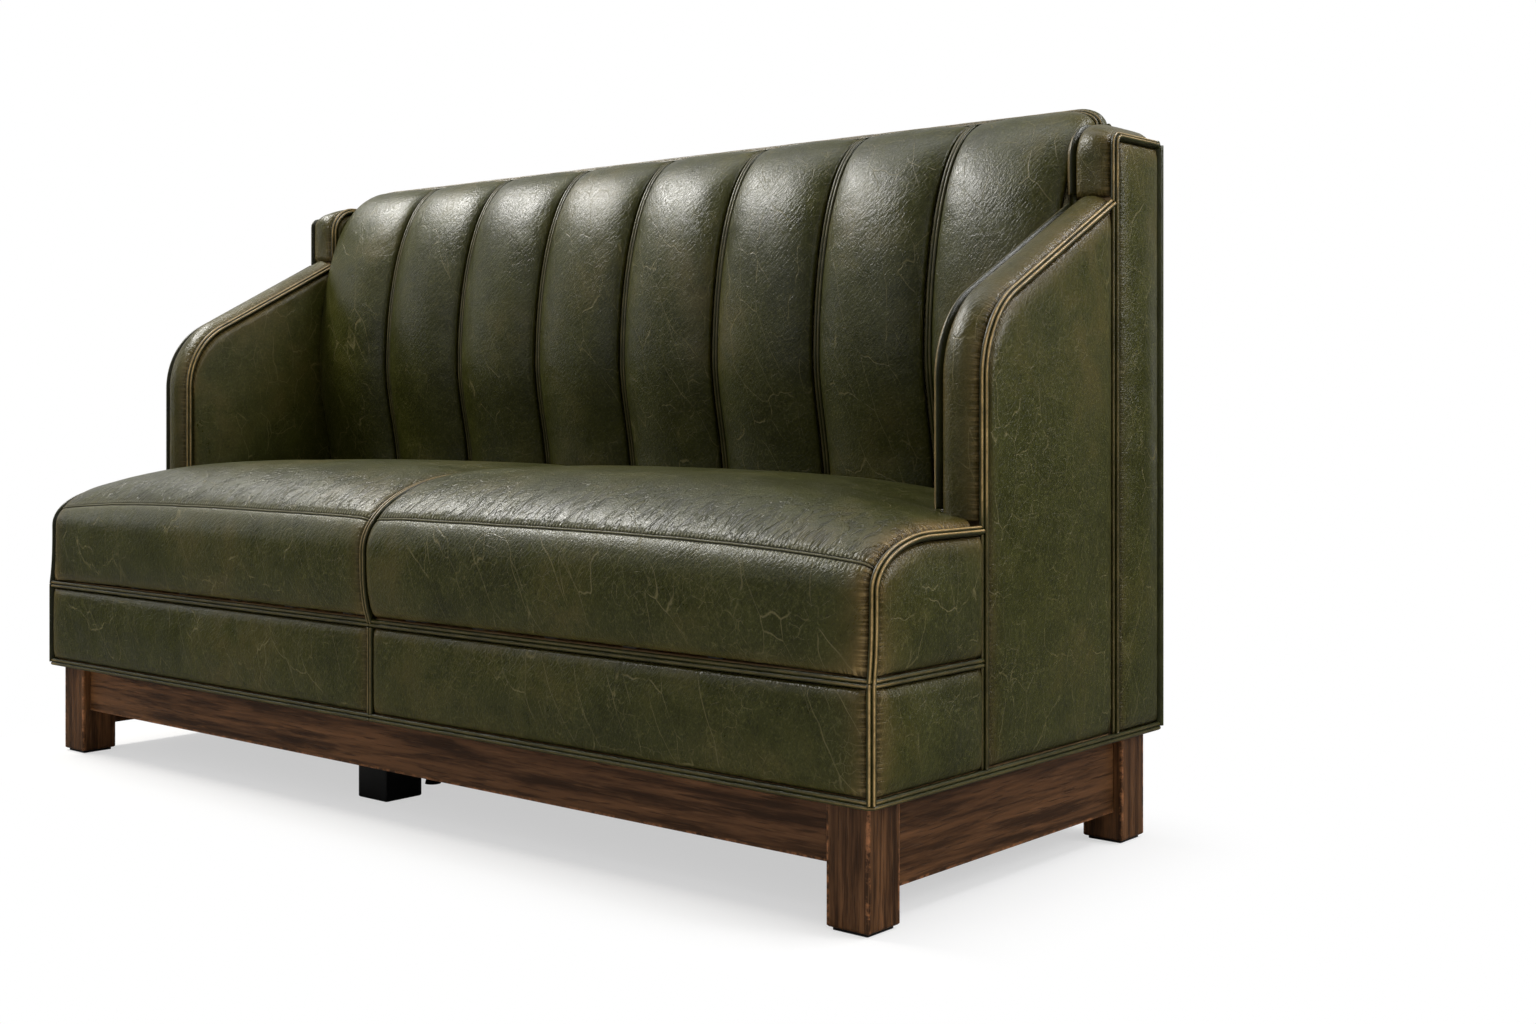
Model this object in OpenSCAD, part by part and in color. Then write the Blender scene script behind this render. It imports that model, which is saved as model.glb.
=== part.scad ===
// Upholstered banquette bench with a channelled back, sloping arms and a wooden base.
// Millimetres, +X to the right as seen from the front, +Y to the rear, +Z up.
// The pieces are drawn in bench coordinates: Y is 0 at the apron's face and grows rearwards.
// placed() then centres the depth, so the origin lies under the middle of the bench.

/* [Overall] */
// Width over the side piping
bench_w = 1700; // [1500:10:2000]
// Depth from the apron's face to the rear cover
bench_d = 645; // [635:5:675]
// Height from the floor to the underside of the upholstery
base_h = 141; // [130:1:160]
// Height of the apron band, from the base to its upper seam
apron_h = 134; // [120:1:145]
// Height of the cushion's side, from the apron seam to the side piping
cushion_h = 157; // [150:1:170]
// Height of the back's top seam
back_h = 966; // [950:2:990]

/* [Base] */
// Side of a square leg
leg_w = 58; // [50:1:64]
// Distance from the upholstery's face to a leg's face
leg_inset = 20; // [16:1:26]
// Width of a glide under a leg
glide_w = 48; // [40:1:50]
// Thickness of a glide
glide_t = 4; // [3:0.5:6]
// Distance from a leg's face back to a rail's face
rail_recess = 12; // [8:1:16]
// Thickness of the base rails
base_rail_t = 22; // [18:1:24]
// Height of the front and rear base rails
front_rail_h = 71; // [64:1:80]
// Height of the side base rails
side_rail_h = 101; // [90:1:106]
// Distance of the centre leg and its stretcher from the middle of the bench
centre_leg_x = -133; // [-160:1:-110]
// Side of the square centre leg
centre_leg_w = 65; // [55:1:68]
// Distance from the apron's face to the centre leg
centre_leg_setback = 110; // [100:1:130]

/* [Levelling foot] */
// Diameter of the round foot
foot_d = 24; // [20:1:30]
// Height of the round foot
foot_h = 9; // [7:0.5:12]
// Diameter of the threaded stem
stem_d = 8; // [6:1:10]
// Travel of the foot upwards from the floor
foot_up = 10; // [6:1:11]

/* [Seat] */
// How far the cushion's front bulges past the apron
seat_bulge = 15; // [8:1:20]
// Rise of the cushion from its side piping to its crown
seat_crown = 48; // [30:1:55]
// Sharpness of the cushion's fall towards its sides
seat_dome = 5; // [4:1:8]
// Share of the crown that the centre seam pulls down
seam_pull_share = 0.12; // [0.05:0.01:0.2]
// Half width of the valley at the centre seam
seam_valley = 45; // [30:1:60]
// Height of the cushion's nose above the apron seam
nose_h = 97; // [80:1:100]
// Depth of the rounded nose at the side piping
nose_side_d = 110; // [90:1:125]
// Depth of the rounded nose at the middle
nose_mid_d = 190; // [150:1:195]

/* [Arms] */
// Thickness of an arm
arm_t = 75; // [70:1:85]
// Distance from the apron's face to an arm's front
arm_setback = 215; // [212:1:235]
// Slope of an arm's top
arm_slope = 27.6; // [24:0.2:30]
// Radius of the bend between an arm's front and its top
arm_bend_r = 125; // [100:1:140]
// Share of the height from the side piping to the end's top that an arm has reached at the back
arm_h_share = 0.823; // [0.75:0.005:0.86]

/* [Back] */
// Depth of the back's end, from its front to the rear cover
end_depth = 128; // [120:1:133]
// Drop from the back's top seam to the end's outer seam
end_drop = 47; // [36:1:66]
// Rise of the end's top strip from its outer to its inner seam
end_rise = 19; // [10:1:24]
// Radius of the end's outer front corner
end_outer_r = 16; // [14:1:24]
// Radius of the end's inner front corner
end_inner_r = 50; // [40:1:60]
// Number of channels
channels = 8; // [6:1:10]
// How far a channel swells past its seams
channel_swell = 15; // [10:1:18]
// Thickness of a channel behind its seams
channel_t = 26; // [20:1:28]
// Depth of the back at its lower end
back_foot_depth = 133; // [129:1:135]
// Depth of the back at the lumbar, where it meets the cushion
lumbar_depth = 159; // [153:1:161]
// Share of the height from the side piping to the back's top seam at which the lumbar lies
lumbar_share = 0.39; // [0.35:0.01:0.43]
// Depth of the back at its top seam
crest_depth = 39; // [37:1:45]
// Radius of the shoulder at either end of the back's crest
shoulder_r = 40; // [25:1:50]
// Drop of the shoulder at the end of the crest
shoulder_drop = 24; // [15:1:28]

/* [Padding] */
// Thickness of a padded cover
pad_t = 12; // [11:0.5:14]
// Crown of a padded cover past its face
pad_crown = 3; // [1:0.5:4]
// Thickness of a padded cover at its rim
pad_rim = 6; // [4:0.5:8]
// Radius of the piping
welt_r = 5.5; // [4.5:0.25:5.5]

/* [Frame] */
// Thickness of the softwood rails
rail_t = 25; // [20:1:28]
// Thickness of the side gables and back posts
gable_t = 36; // [30:1:38]
// Number of zigzag springs
springs = 12; // [8:1:14]
// Thickness of the spring wire
wire_t = 3.6; // [3:0.2:4]
// Number of half turns of a spring
spring_turns = 11; // [9:2:13]
// Length of a spring's straight bar
spring_bar = 34; // [24:1:40]
// Diameter of the bolts' shanks
bolt_d = 8; // [6:1:8]
// Diameter of the dowels
dowel_d = 10; // [8:1:10]
// Length of the dowels
dowel_l = 40; // [30:2:44]

/* [Hidden] */
// Clearance between pieces that meet on a curved face, and between a fastener and its hole
gap = 0.3;
hole_gap = 0.1;
// How far a cut runs past the face that it opens
over = 1;
// Facets of an exact round
$fn = 48;

half_w = bench_w / 2;
mid_y = (bench_d + pad_crown - seat_bulge) / 2;
seam_h = base_h + apron_h;
side_seam_h = seam_h + cushion_h;
welt_in = pad_t - welt_r;
welt_clear = welt_r + gap;
edge_in = pad_t + gap;
// The back and the arms' rear ends are placed from the rear cover and the back's top seam
end_setback = bench_d - end_depth;
end_h = back_h - end_drop;
arm_rear_h = mix(side_seam_h, end_h, arm_h_share);
back_foot_setback = bench_d - back_foot_depth;
lumbar_setback = bench_d - lumbar_depth;
lumbar_h = mix(side_seam_h, back_h, lumbar_share);
crest_setback = bench_d - crest_depth;
seat_d = lumbar_setback;
// The seat rails end just under the cushion covers
seat_rail_h = apron_h + welt_clear - gap;
inner_half = half_w - arm_t - pad_crown - gap;
frame_half = half_w - pad_t - gap;
gable_in = frame_half - gable_t;
rear_frame_y = bench_d - pad_t - gap;
post_y = end_setback + pad_t + gap;
gable_y = arm_setback + pad_t + gap;
low_welt_h = base_h + welt_clear;
low_edge_h = low_welt_h + welt_clear;
seat_rail_top = base_h + seat_rail_h;
pitch = 2 * inner_half / channels;
ease_steps = 6;

leather = [0.16, 0.19, 0.09];
piping = [0.24, 0.21, 0.09];
walnut = [0.23, 0.12, 0.07];
beech = [0.78, 0.64, 0.45];
plywood = [0.70, 0.55, 0.36];
steel = [0.62, 0.63, 0.65];
black = [0.05, 0.05, 0.05];
foam = [0.93, 0.89, 0.70];
hessian = [0.66, 0.55, 0.38];

// Moves a piece from bench coordinates to the part's own frame
module placed() { translate([0, -mid_y, 0]) children(); }

// The right-hand piece, its mirror image on the left, and the pair
module on_left() { mirror([1, 0, 0]) children(); }
module pair() { children(); on_left() children(); }

function mix(a, b, t) = a + (b - a) * t;
function total(list) = list * [for (x = list) 1];
function bezier(p, t) =
    pow(1 - t, 3) * p[0] + 3 * pow(1 - t, 2) * t * p[1] + 3 * (1 - t) * t * t * p[2] + pow(t, 3) * p[3];
// Points of an arc about c from angle a0 to a1, both ends included
function arc(c, r, a0, a1, n) =
    [for (i = [0:n]) let (a = mix(a0, a1, i / n)) c + r * [cos(a), sin(a)]];
// Shares from 0 to 1 that lie closer together at both ends
function eased(n) = [for (i = [0:n]) (1 - cos(180 * i / n)) / 2];
// Height share of a padded face: 0 at its rims, 1 over its flat middle
dome_power = 3;
function dome(s) = pow(1 - pow(abs(2 * s - 1), dome_power), 1 / dome_power);

// Closed solid between two grids of points with the same rows and columns
module skin(front, back) {
    rows = len(front);
    cols = len(front[0]);
    count = rows * cols;
    points = concat([for (row = front) each row], [for (row = back) each row]);
    quads = concat(
        [for (r = [0:rows - 2], c = [0:cols - 2]) let (a = r * cols + c) [a, a + 1, a + cols + 1, a + cols]],
        [for (r = [0:rows - 2], c = [0:cols - 2]) let (a = count + r * cols + c)
            [a, a + cols, a + cols + 1, a + 1]],
        [for (c = [0:cols - 2]) [c, c + count, c + count + 1, c + 1]],
        [for (c = [0:cols - 2]) let (a = count - cols + c) [a, a + 1, a + 1 + count, a + count]],
        [for (r = [0:rows - 2]) let (a = r * cols) [a, a + cols, a + cols + count, a + count]],
        [for (r = [0:rows - 2]) let (a = r * cols + cols - 1) [a, a + count, a + cols + count, a + cols]]);
    shell(points, [for (q = quads) each [[q[0], q[1], q[2]], [q[0], q[2], q[3]]]]);
}

// Polyhedron whose faces are turned round where they would point inwards
module shell(points, faces) {
    volume = total([for (f = faces) cross(points[f[0]], points[f[1]]) * points[f[2]]]);
    polyhedron(points, volume < 0 ? faces : [for (f = faces) [f[2], f[1], f[0]]], convexity = 6);
}

// Cord along a flat route: normal is square to the route's plane
cord_sides = 8;
module cord(route, normal) {
    last = len(route) - 1;
    function along(i) = route[min(i + 1, last)] - route[max(i - 1, 0)];
    function unit(v) = v / norm(v);
    function leg(i) = unit(route[i + 1] - route[i]);
    function widen(i) = i == 0 || i == last ? 1 : 1 / sqrt((1 + leg(i - 1) * leg(i)) / 2);
    function tangent(i) = i == 0 ? leg(0) : i == last ? leg(last - 1) : unit(leg(i - 1) + leg(i));
    rings = [for (i = [0:last]) let (side = cross(tangent(i), normal) * widen(i))
        [for (k = [0:cord_sides - 1]) let (a = 360 * k / cord_sides)
            route[i] + welt_r * (cos(a) * side + sin(a) * normal)]];
    points = [for (ring = rings) each ring];
    n = cord_sides;
    walls = [for (i = [0:last - 1], k = [0:n - 1]) let (a = i * n + k, b = i * n + (k + 1) % n)
        each [[a, b, b + n], [a, b + n, a + n]]];
    caps = [for (k = [1:n - 2]) each [[0, k + 1, k], [last * n, last * n + k, last * n + k + 1]]];
    shell(points, concat(walls, caps));
}

// Cord in a plane of constant x, given as [y, z] points
module cord_yz(x, points) { cord([for (p = points) [x, p[0], p[1]]], [1, 0, 0]); }

// Base

leg_edge_r = 2;
leg_top = base_h;
leg_centre_x = half_w - leg_inset - leg_w / 2;
leg_front_y = leg_inset + leg_w / 2;
leg_rear_y = bench_d - leg_inset - leg_w / 2;
rail_face = leg_inset + rail_recess;
rail_mid = rail_face + base_rail_t / 2;
rail_end_x = half_w - leg_inset - leg_w;
rail_end_y = leg_inset + leg_w;
dowel_share = 0.25;
front_dowel_z = [for (s = [dowel_share, 1 - dowel_share]) leg_top - front_rail_h * s];
side_dowel_z = [for (s = [dowel_share / 2, 1 - dowel_share / 2]) leg_top - side_rail_h * s];

module rounded_square(w, r) {
    square([w, w - 2 * r], center = true);
    square([w - 2 * r, w], center = true);
    for (x = [-1, 1], y = [-1, 1]) translate([x, y] * (w / 2 - r)) circle(r);
}

// Dowels across one corner of the base, grown for the holes
module corner_dowels(y_leg, y_rail, grow = 0) {
    d = dowel_d + 2 * grow;
    l = dowel_l + 2 * grow;
    for (z = front_dowel_z) translate([rail_end_x, y_rail, z]) rotate([0, 90, 0])
        cylinder(d = d, h = l, center = true);
    y_end = y_leg < bench_d / 2 ? rail_end_y : bench_d - rail_end_y;
    for (z = side_dowel_z) translate([half_w - rail_mid, y_end, z]) rotate([90, 0, 0])
        cylinder(d = d, h = l, center = true);
}
module front_corner_dowels(grow = 0) { corner_dowels(leg_front_y, rail_mid, grow); }
module rear_corner_dowels(grow = 0) { corner_dowels(leg_rear_y, bench_d - rail_mid, grow); }
module base_dowels(grow = 0) {
    pair() {
        front_corner_dowels(grow);
        rear_corner_dowels(grow);
    }
}

module leg(y) {
    color(walnut) placed() difference() {
        translate([leg_centre_x, y, glide_t])
            linear_extrude(leg_top - glide_t) rounded_square(leg_w, leg_edge_r);
        base_dowels(hole_gap);
    }
}
module leg_front_right() { leg(leg_front_y); }
module leg_front_left() { on_left() leg_front_right(); }
module leg_rear_right() { leg(leg_rear_y); }
module leg_rear_left() { on_left() leg_rear_right(); }

module leg_glides() {
    color(black) placed() pair() for (y = [leg_front_y, leg_rear_y])
        translate([leg_centre_x, y, 0]) linear_extrude(glide_t) rounded_square(glide_w, leg_edge_r);
}

module base_rail_front() {
    color(walnut) placed() difference() {
        translate([-rail_end_x, rail_face, leg_top - front_rail_h])
            cube([2 * rail_end_x, base_rail_t, front_rail_h]);
        base_dowels(hole_gap);
    }
}
module base_rail_rear() {
    color(walnut) placed() difference() {
        translate([-rail_end_x, bench_d - rail_face - base_rail_t, leg_top - front_rail_h])
            cube([2 * rail_end_x, base_rail_t, front_rail_h]);
        base_dowels(hole_gap);
    }
}
module base_rail_right() {
    color(walnut) placed() difference() {
        translate([half_w - rail_face - base_rail_t, rail_end_y, leg_top - side_rail_h])
            cube([base_rail_t, bench_d - 2 * rail_end_y, side_rail_h]);
        base_dowels(hole_gap);
    }
}
module base_rail_left() { on_left() base_rail_right(); }

dust_t = 1.6;
block_h = 40;
block_reach = 72;
block_top = leg_top - dust_t;
rail_inner = rail_face + base_rail_t;
block_bolt_in = 12;
corner_bolt_x = rail_end_x - block_bolt_in;
corner_bolt_y = rail_end_y + block_bolt_in;
bolt_head_d = 1.8 * bolt_d;
bolt_head_h = 0.65 * bolt_d;
bolt_bite = 30;
bolt_grip = block_h + dust_t + bolt_bite;
bolt_bottom = block_top - block_h;

module block_outline() {
    polygon([[rail_end_x, rail_inner], [rail_end_x - block_reach, rail_inner],
        [half_w - rail_inner, rail_end_y + block_reach], [half_w - rail_inner, rail_end_y],
        [rail_end_x, rail_end_y]]);
}
module at_corners() {
    pair() {
        children();
        translate([0, bench_d, 0]) mirror([0, 1, 0]) children();
    }
}
module corner_bolt(grow = 0) {
    translate([corner_bolt_x, corner_bolt_y, bolt_bottom]) {
        translate([0, 0, -bolt_head_h]) cylinder(d = bolt_head_d, h = bolt_head_h);
        cylinder(d = bolt_d + 2 * grow, h = bolt_grip + grow);
    }
}
module base_corner_blocks() {
    color(beech) placed() at_corners() difference() {
        translate([0, 0, bolt_bottom]) linear_extrude(block_h) block_outline();
        corner_bolt(hole_gap);
    }
}

stretcher_ledge = 2.5;
stretcher_w = centre_leg_w + 2 * stretcher_ledge;
stretcher_h = 38;
foot_x = centre_leg_x - centre_leg_w / 3;
foot_y = centre_leg_setback + 2 * centre_leg_w;
foot_taper_share = 0.8;
stem_gap = 0.05;
stem_play = 0.75;
stem_headroom = 3;
nut_wall = 1.5;
nut_barrel_d = stem_d + 2 * nut_wall;
nut_barrel_h = 14;
nut_flange_d = 2.6 * stem_d;
nut_flange_t = 2;
stem_top = block_top - foot_up - stem_headroom;
stem_hole_d = stem_d + 2 * stem_play;
stretcher_bottom = block_top - stretcher_h;

module base_stretcher() {
    color(beech) placed() difference() {
        translate([centre_leg_x - stretcher_w / 2, rail_inner, stretcher_bottom])
            cube([stretcher_w, bench_d - 2 * rail_inner, stretcher_h]);
        translate([foot_x, foot_y, stretcher_bottom - over]) {
            cylinder(d = nut_barrel_d + 2 * hole_gap, h = nut_barrel_h + over);
            cylinder(d = stem_hole_d, h = stretcher_h + 2 * over);
        }
    }
}
module centre_leg() {
    color(black) placed() translate([centre_leg_x, centre_leg_setback + centre_leg_w / 2, 0])
        linear_extrude(stretcher_bottom) rounded_square(centre_leg_w, leg_edge_r);
}
module foot_nut() {
    color(steel) placed() translate([foot_x, foot_y, stretcher_bottom]) difference() {
        union() {
            cylinder(d = nut_barrel_d, h = nut_barrel_h);
            translate([0, 0, -nut_flange_t]) cylinder(d = nut_flange_d, h = nut_flange_t);
        }
        translate([0, 0, -nut_flange_t - over])
            cylinder(d = stem_d + 2 * stem_gap, h = nut_barrel_h + nut_flange_t + 2 * over);
    }
}
module foot_stem() {
    color(steel) placed() translate([foot_x, foot_y, foot_h]) cylinder(d = stem_d, h = stem_top - foot_h);
}
module foot_pad() {
    color(black) placed() translate([foot_x, foot_y, 0])
        cylinder(d1 = foot_d, d2 = foot_d * foot_taper_share, h = foot_h);
}

module dust_cover() {
    color(black) placed() difference() {
        translate([rail_inner - half_w + gap, rail_inner + gap, block_top])
            cube([bench_w - 2 * rail_inner - 2 * gap, bench_d - 2 * rail_inner - 2 * gap, dust_t]);
        at_corners() {
            translate([rail_end_x - gap, 0, block_top - over])
                cube([leg_w, rail_end_y + gap, dust_t + 2 * over]);
            translate([corner_bolt_x, corner_bolt_y, block_top - over])
                cylinder(d = bolt_d + 2 * over, h = dust_t + 2 * over);
        }
    }
}

module dowels() {
    color(beech) placed() {
        base_dowels();
        gable_dowels();
    }
}

// Seat frame

module seat_rail_front() {
    color(beech) placed() translate([-frame_half, edge_in, base_h])
        cube([2 * frame_half, rail_t, seat_rail_h]);
}
module seat_rail_rear() {
    color(beech) placed() translate([-gable_in, rear_frame_y - rail_t, base_h])
        cube([2 * gable_in, rail_t, seat_rail_h]);
}
module seat_side_rails() {
    color(beech) placed() pair() translate([frame_half - rail_t, edge_in + rail_t, base_h])
        cube([rail_t, gable_y - edge_in - rail_t, seat_rail_h]);
}
spring_rail_h = 70;
module seat_cross_rail() {
    // The spring rail stands on it
    cross_rail_h = seat_rail_h - spring_rail_h;
    color(beech) placed() translate([-rail_t / 2, edge_in + rail_t, base_h])
        cube([rail_t, rear_frame_y - edge_in - 2 * rail_t, cross_rail_h]);
}
block_chamfer = 29;
module seat_corner_blocks() {
    y0 = edge_in + rail_t;
    color(beech) placed() at_corners() difference() {
        translate([0, 0, base_h]) linear_extrude(block_h) polygon([
            [gable_in - block_reach, y0], [gable_in, y0], [gable_in, y0 + block_reach],
            [gable_in - block_reach + block_chamfer, y0 + block_reach],
            [gable_in - block_reach, y0 + block_reach - block_chamfer]]);
        corner_bolt(hole_gap);
    }
}

spring_rail_in = 30;
spring_rail_y = back_foot_setback + spring_rail_in;
module spring_rail() {
    color(beech) placed() difference() {
        translate([-gable_in, spring_rail_y, seat_rail_top - spring_rail_h])
            cube([2 * gable_in, rail_t, spring_rail_h]);
        post_bolts(hole_gap);
    }
}

// A zigzag spring lies flat: straight bars joined by half rings
spring_start = edge_in + rail_t / 2;
spring_end = spring_rail_y + rail_t / 2;
turn_pitch = (spring_end - spring_start) / spring_turns;
spring_span = 2 * (gable_in - block_reach / 2) - spring_bar;
spring_x = [for (i = [0:springs - 1]) mix(-spring_span / 2, spring_span / 2, i / (springs - 1))];
module spring_outline() {
    for (i = [0:spring_turns]) translate([0, i * turn_pitch]) square([spring_bar, wire_t], center = true);
    for (i = [0:spring_turns - 1]) {
        side = i % 2 == 0 ? 1 : -1;
        translate([side * spring_bar / 2, (i + 0.5) * turn_pitch]) difference() {
            circle(d = turn_pitch + wire_t);
            circle(d = turn_pitch - wire_t);
            translate([-side * bench_d, 0]) square(2 * bench_d, center = true);
        }
    }
}
module seat_springs() {
    color(steel) placed() for (x = spring_x) translate([x, spring_start, seat_rail_top])
        linear_extrude(wire_t) spring_outline();
}

// A clip folds over the end bar of a spring and is nailed to the rail
clip_w = 20;
clip_t = 1.6;
clip_lip = 5;
module clip() {
    difference() {
        translate([-clip_w / 2, -wire_t / 2 - clip_lip, 0])
            cube([clip_w, wire_t + 2 * clip_lip, wire_t + clip_t]);
        translate([-clip_w / 2 - over, -wire_t / 2 - hole_gap, -over])
            cube([clip_w + 2 * over, wire_t + 2 * hole_gap, wire_t + hole_gap + over]);
    }
}
module spring_clips() {
    color(steel) placed() for (x = spring_x, y = [spring_start, spring_end])
        translate([x, y, seat_rail_top]) clip();
}
deck_t = 1.5;
deck_bottom = seat_rail_top + wire_t + clip_t;
deck_top = deck_bottom + deck_t;
deck_half = gable_in - gap;
module deck_cloth() {
    color(hessian) placed() translate([-deck_half, edge_in, deck_bottom])
        cube([2 * deck_half, spring_end + rail_t / 2 - edge_in, deck_t]);
}

// Gables, posts and back frame

arm_tan = tan(arm_slope);
arm_bend_y = arm_setback + arm_bend_r;
arm_bend_z = arm_rear_h - (end_setback - arm_bend_y) * arm_tan - arm_bend_r / cos(arm_slope);
function arm_top_z(y, inset) = arm_rear_h - (end_setback - y) * arm_tan - inset / cos(arm_slope);
// An arm's outline from low on its front, round the bend and up its slope, as [y, z] points
function arm_path(inset, z0, y1, n) = concat(
    [[arm_setback + inset, z0]],
    arc([arm_bend_y, arm_bend_z], arm_bend_r - inset, 180, 90 + arm_slope, n),
    [[y1, arm_top_z(y1, inset)]]);

gable_dowel_shares = [0.15, 0.5, 0.85];
gable_dowel_z = [for (s = gable_dowel_shares) mix(seat_rail_top, arm_rear_h, s)];
gable_mid_x = (gable_in + frame_half) / 2;
module gable_dowels(grow = 0) {
    pair() for (z = gable_dowel_z) translate([gable_mid_x, post_y, z]) rotate([90, 0, 0])
        cylinder(d = dowel_d + 2 * grow, h = dowel_l + 2 * grow, center = true);
}
module upright_slab(points) {
    translate([gable_in, 0, 0]) rotate([90, 0, 90]) linear_extrude(gable_t) polygon(points);
}
module gable_right() {
    color(plywood) placed() difference() {
        upright_slab(concat(arm_path(edge_in, base_h, post_y, ease_steps), [[post_y, base_h]]));
        gable_dowels(hole_gap);
    }
}
module gable_left() { on_left() gable_right(); }

post_top = end_h - edge_in;
bolt_head_in = 6;
post_bolt_y = [spring_rail_y + rail_t / 2, rear_frame_y - rail_t / 2, rear_frame_y - rail_t / 2];
mid_rail_h = 60;
mid_rail_z = (seat_rail_top + post_top) / 2;
top_rail_h = 65;
post_bolt_z = [seat_rail_top - spring_rail_h / 2, mid_rail_z + mid_rail_h / 2, post_top - top_rail_h / 2];
post_bolt_bite = 45;
post_bolt_l = gable_t - bolt_head_in + post_bolt_bite;
module post_bolt(grow = 0) {
    cylinder(d = bolt_d + 2 * grow, h = post_bolt_l + grow);
    translate([0, 0, -bolt_head_in + gap]) cylinder(d = bolt_head_d + 2 * grow, h = bolt_head_in - gap);
}
module post_bolts(grow = 0) {
    pair() for (i = [0:len(post_bolt_y) - 1])
        translate([frame_half - bolt_head_in, post_bolt_y[i], post_bolt_z[i]])
            rotate([0, -90, 0]) post_bolt(grow);
}
module bolts() {
    color(steel) placed() {
        at_corners() corner_bolt();
        post_bolts();
    }
}
module back_post_right() {
    color(plywood) placed() difference() {
        upright_slab(concat(end_path(edge_in, base_h, end_h, end_inner_r, ease_steps),
            [[rear_frame_y, base_h]]));
        gable_dowels(hole_gap);
        post_bolts(hole_gap);
        pair() for (i = [0:len(post_bolt_y) - 1])
            translate([frame_half - bolt_head_in, post_bolt_y[i], post_bolt_z[i]]) rotate([0, 90, 0])
                cylinder(d = bolt_head_d + 2 * hole_gap, h = bolt_head_in + over);
    }
}
module back_post_left() { on_left() back_post_right(); }

module back_mid_rail() {
    color(beech) placed() difference() {
        translate([-gable_in, rear_frame_y - rail_t, mid_rail_z]) cube([2 * gable_in, rail_t, mid_rail_h]);
        post_bolts(hole_gap);
    }
}
crest_clear = 4;
crest_rail_top = back_h - channel_t - crest_clear;
crest_half = inner_half - shoulder_r - pad_t;
module back_top_rail() {
    color(beech) placed() difference() {
        union() {
            translate([-gable_in, rear_frame_y - rail_t, post_top - top_rail_h])
                cube([2 * gable_in, rail_t, top_rail_h]);
            translate([-crest_half, rear_frame_y - rail_t, post_top - top_rail_h])
                cube([2 * crest_half, rail_t, crest_rail_top - post_top + top_rail_h]);
        }
        post_bolts(hole_gap);
    }
}
board_t = 6;
board_y = rear_frame_y - rail_t - board_t;
module back_board() {
    color(plywood) placed() translate([-gable_in + gap, board_y, deck_top])
        cube([2 * (gable_in - gap), board_t, post_top - deck_top]);
}

// Back padding

// Line of the back's seams, from behind the cushion over the lumbar to the crest, as [y, z]
back_tuck = 8;
back_foot_z = side_seam_h + back_tuck;
lumbar_v_share = 0.35;
low_handle_shares = [0.35, 0.3];
high_handle_shares = [0.37, 0.095];
crest_lean_share = 0.76;
low_curve = [[back_foot_setback, back_foot_z],
    [back_foot_setback, mix(back_foot_z, lumbar_h, low_handle_shares[0])],
    [lumbar_setback - gap, mix(lumbar_h, back_foot_z, low_handle_shares[1])],
    [lumbar_setback, lumbar_h]];
high_curve = [[lumbar_setback, lumbar_h],
    [lumbar_setback + gap, mix(lumbar_h, back_h, high_handle_shares[0])],
    [mix(crest_setback, lumbar_setback, crest_lean_share), mix(back_h, lumbar_h, high_handle_shares[1])],
    [crest_setback, back_h]];
function back_line(v) = v < lumbar_v_share ? bezier(low_curve, v / lumbar_v_share)
    : bezier(high_curve, (v - lumbar_v_share) / (1 - lumbar_v_share));
// Unit direction out of the back's face at share v
nudge_share = 0.01;
function back_out(v) =
    let (a = back_line(max(v - nudge_share, 0)), b = back_line(min(v + nudge_share, 1)),
        d = (b - a) / norm(b - a)) [-d[1], d[0]];
// Drop of the crest towards either end
function crest_drop(x) =
    let (t = max(0, (abs(x) - inner_half + shoulder_r) / shoulder_r))
    shoulder_drop * (1 - sqrt(max(0, 1 - t * t)));
crest_grip = 6;
function back_point(x, v, out) =
    let (p = back_line(v) + back_out(v) * out) [x, p[0], p[1] - crest_drop(x) * pow(v, crest_grip)];

channel_rows = 10;
channel_shares = eased(6);
// Distances from the middle of the columns of channel i
function channel_xs(i) = let (
    x0 = i * pitch - inner_half + (i == 0 ? 0 : welt_clear),
    x1 = (i + 1) * pitch - inner_half - (i == channels - 1 ? 0 : welt_clear))
    [for (s = channel_shares) mix(x0, x1, s)];
// Columns that everything along the crest shares, so that its facets run side by side
crest_xs = concat(channel_xs(0), channel_xs(channels - 1));
module channel(i) {
    xs = channel_xs(i);
    front = [for (v = [0:channel_rows])
        let (t = v / channel_rows, swell = channel_swell * (1 - pow(t, crest_grip)))
        [for (k = [0:len(xs) - 1]) back_point(xs[k], t, mix(-pad_rim, swell, dome(channel_shares[k])))]];
    back = [for (v = [0:channel_rows]) [for (x = xs) back_point(x, v / channel_rows, -channel_t)]];
    skin(front, back);
}
module back_channels() {
    color(leather) placed() for (i = [0:channels - 1]) channel(i);
}

// Flat-backed foam behind the channels, up to the last but one of their rows
foam_back = board_y - gap;
foam_in = channel_t + gap;
module back_foam() {
    low = back_point(0, 0, -foam_in);
    front = concat([[for (x = crest_xs) [x, low[1], deck_top]]],
        [for (i = [0:channel_rows - 1]) [for (x = crest_xs) back_point(x, i / channel_rows, -foam_in)]]);
    color(foam) placed() skin(front, [for (row = front) [for (p = row) [p[0], foam_back, p[2]]]]);
}

// Padded crest, from the top seam over the top rail and down to the rear cover
rear_welt_h = end_h - welt_in;
band_low = rear_welt_h + welt_clear;
seam_sink = pad_rim;
crest_along = [back_out(1)[1], -back_out(1)[0]];
crest_welt = back_line(1) + welt_clear * crest_along - seam_sink * back_out(1);
band_front = crest_welt[0] + welt_clear;
band_swell = 6;
band_rows = 8;
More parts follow.
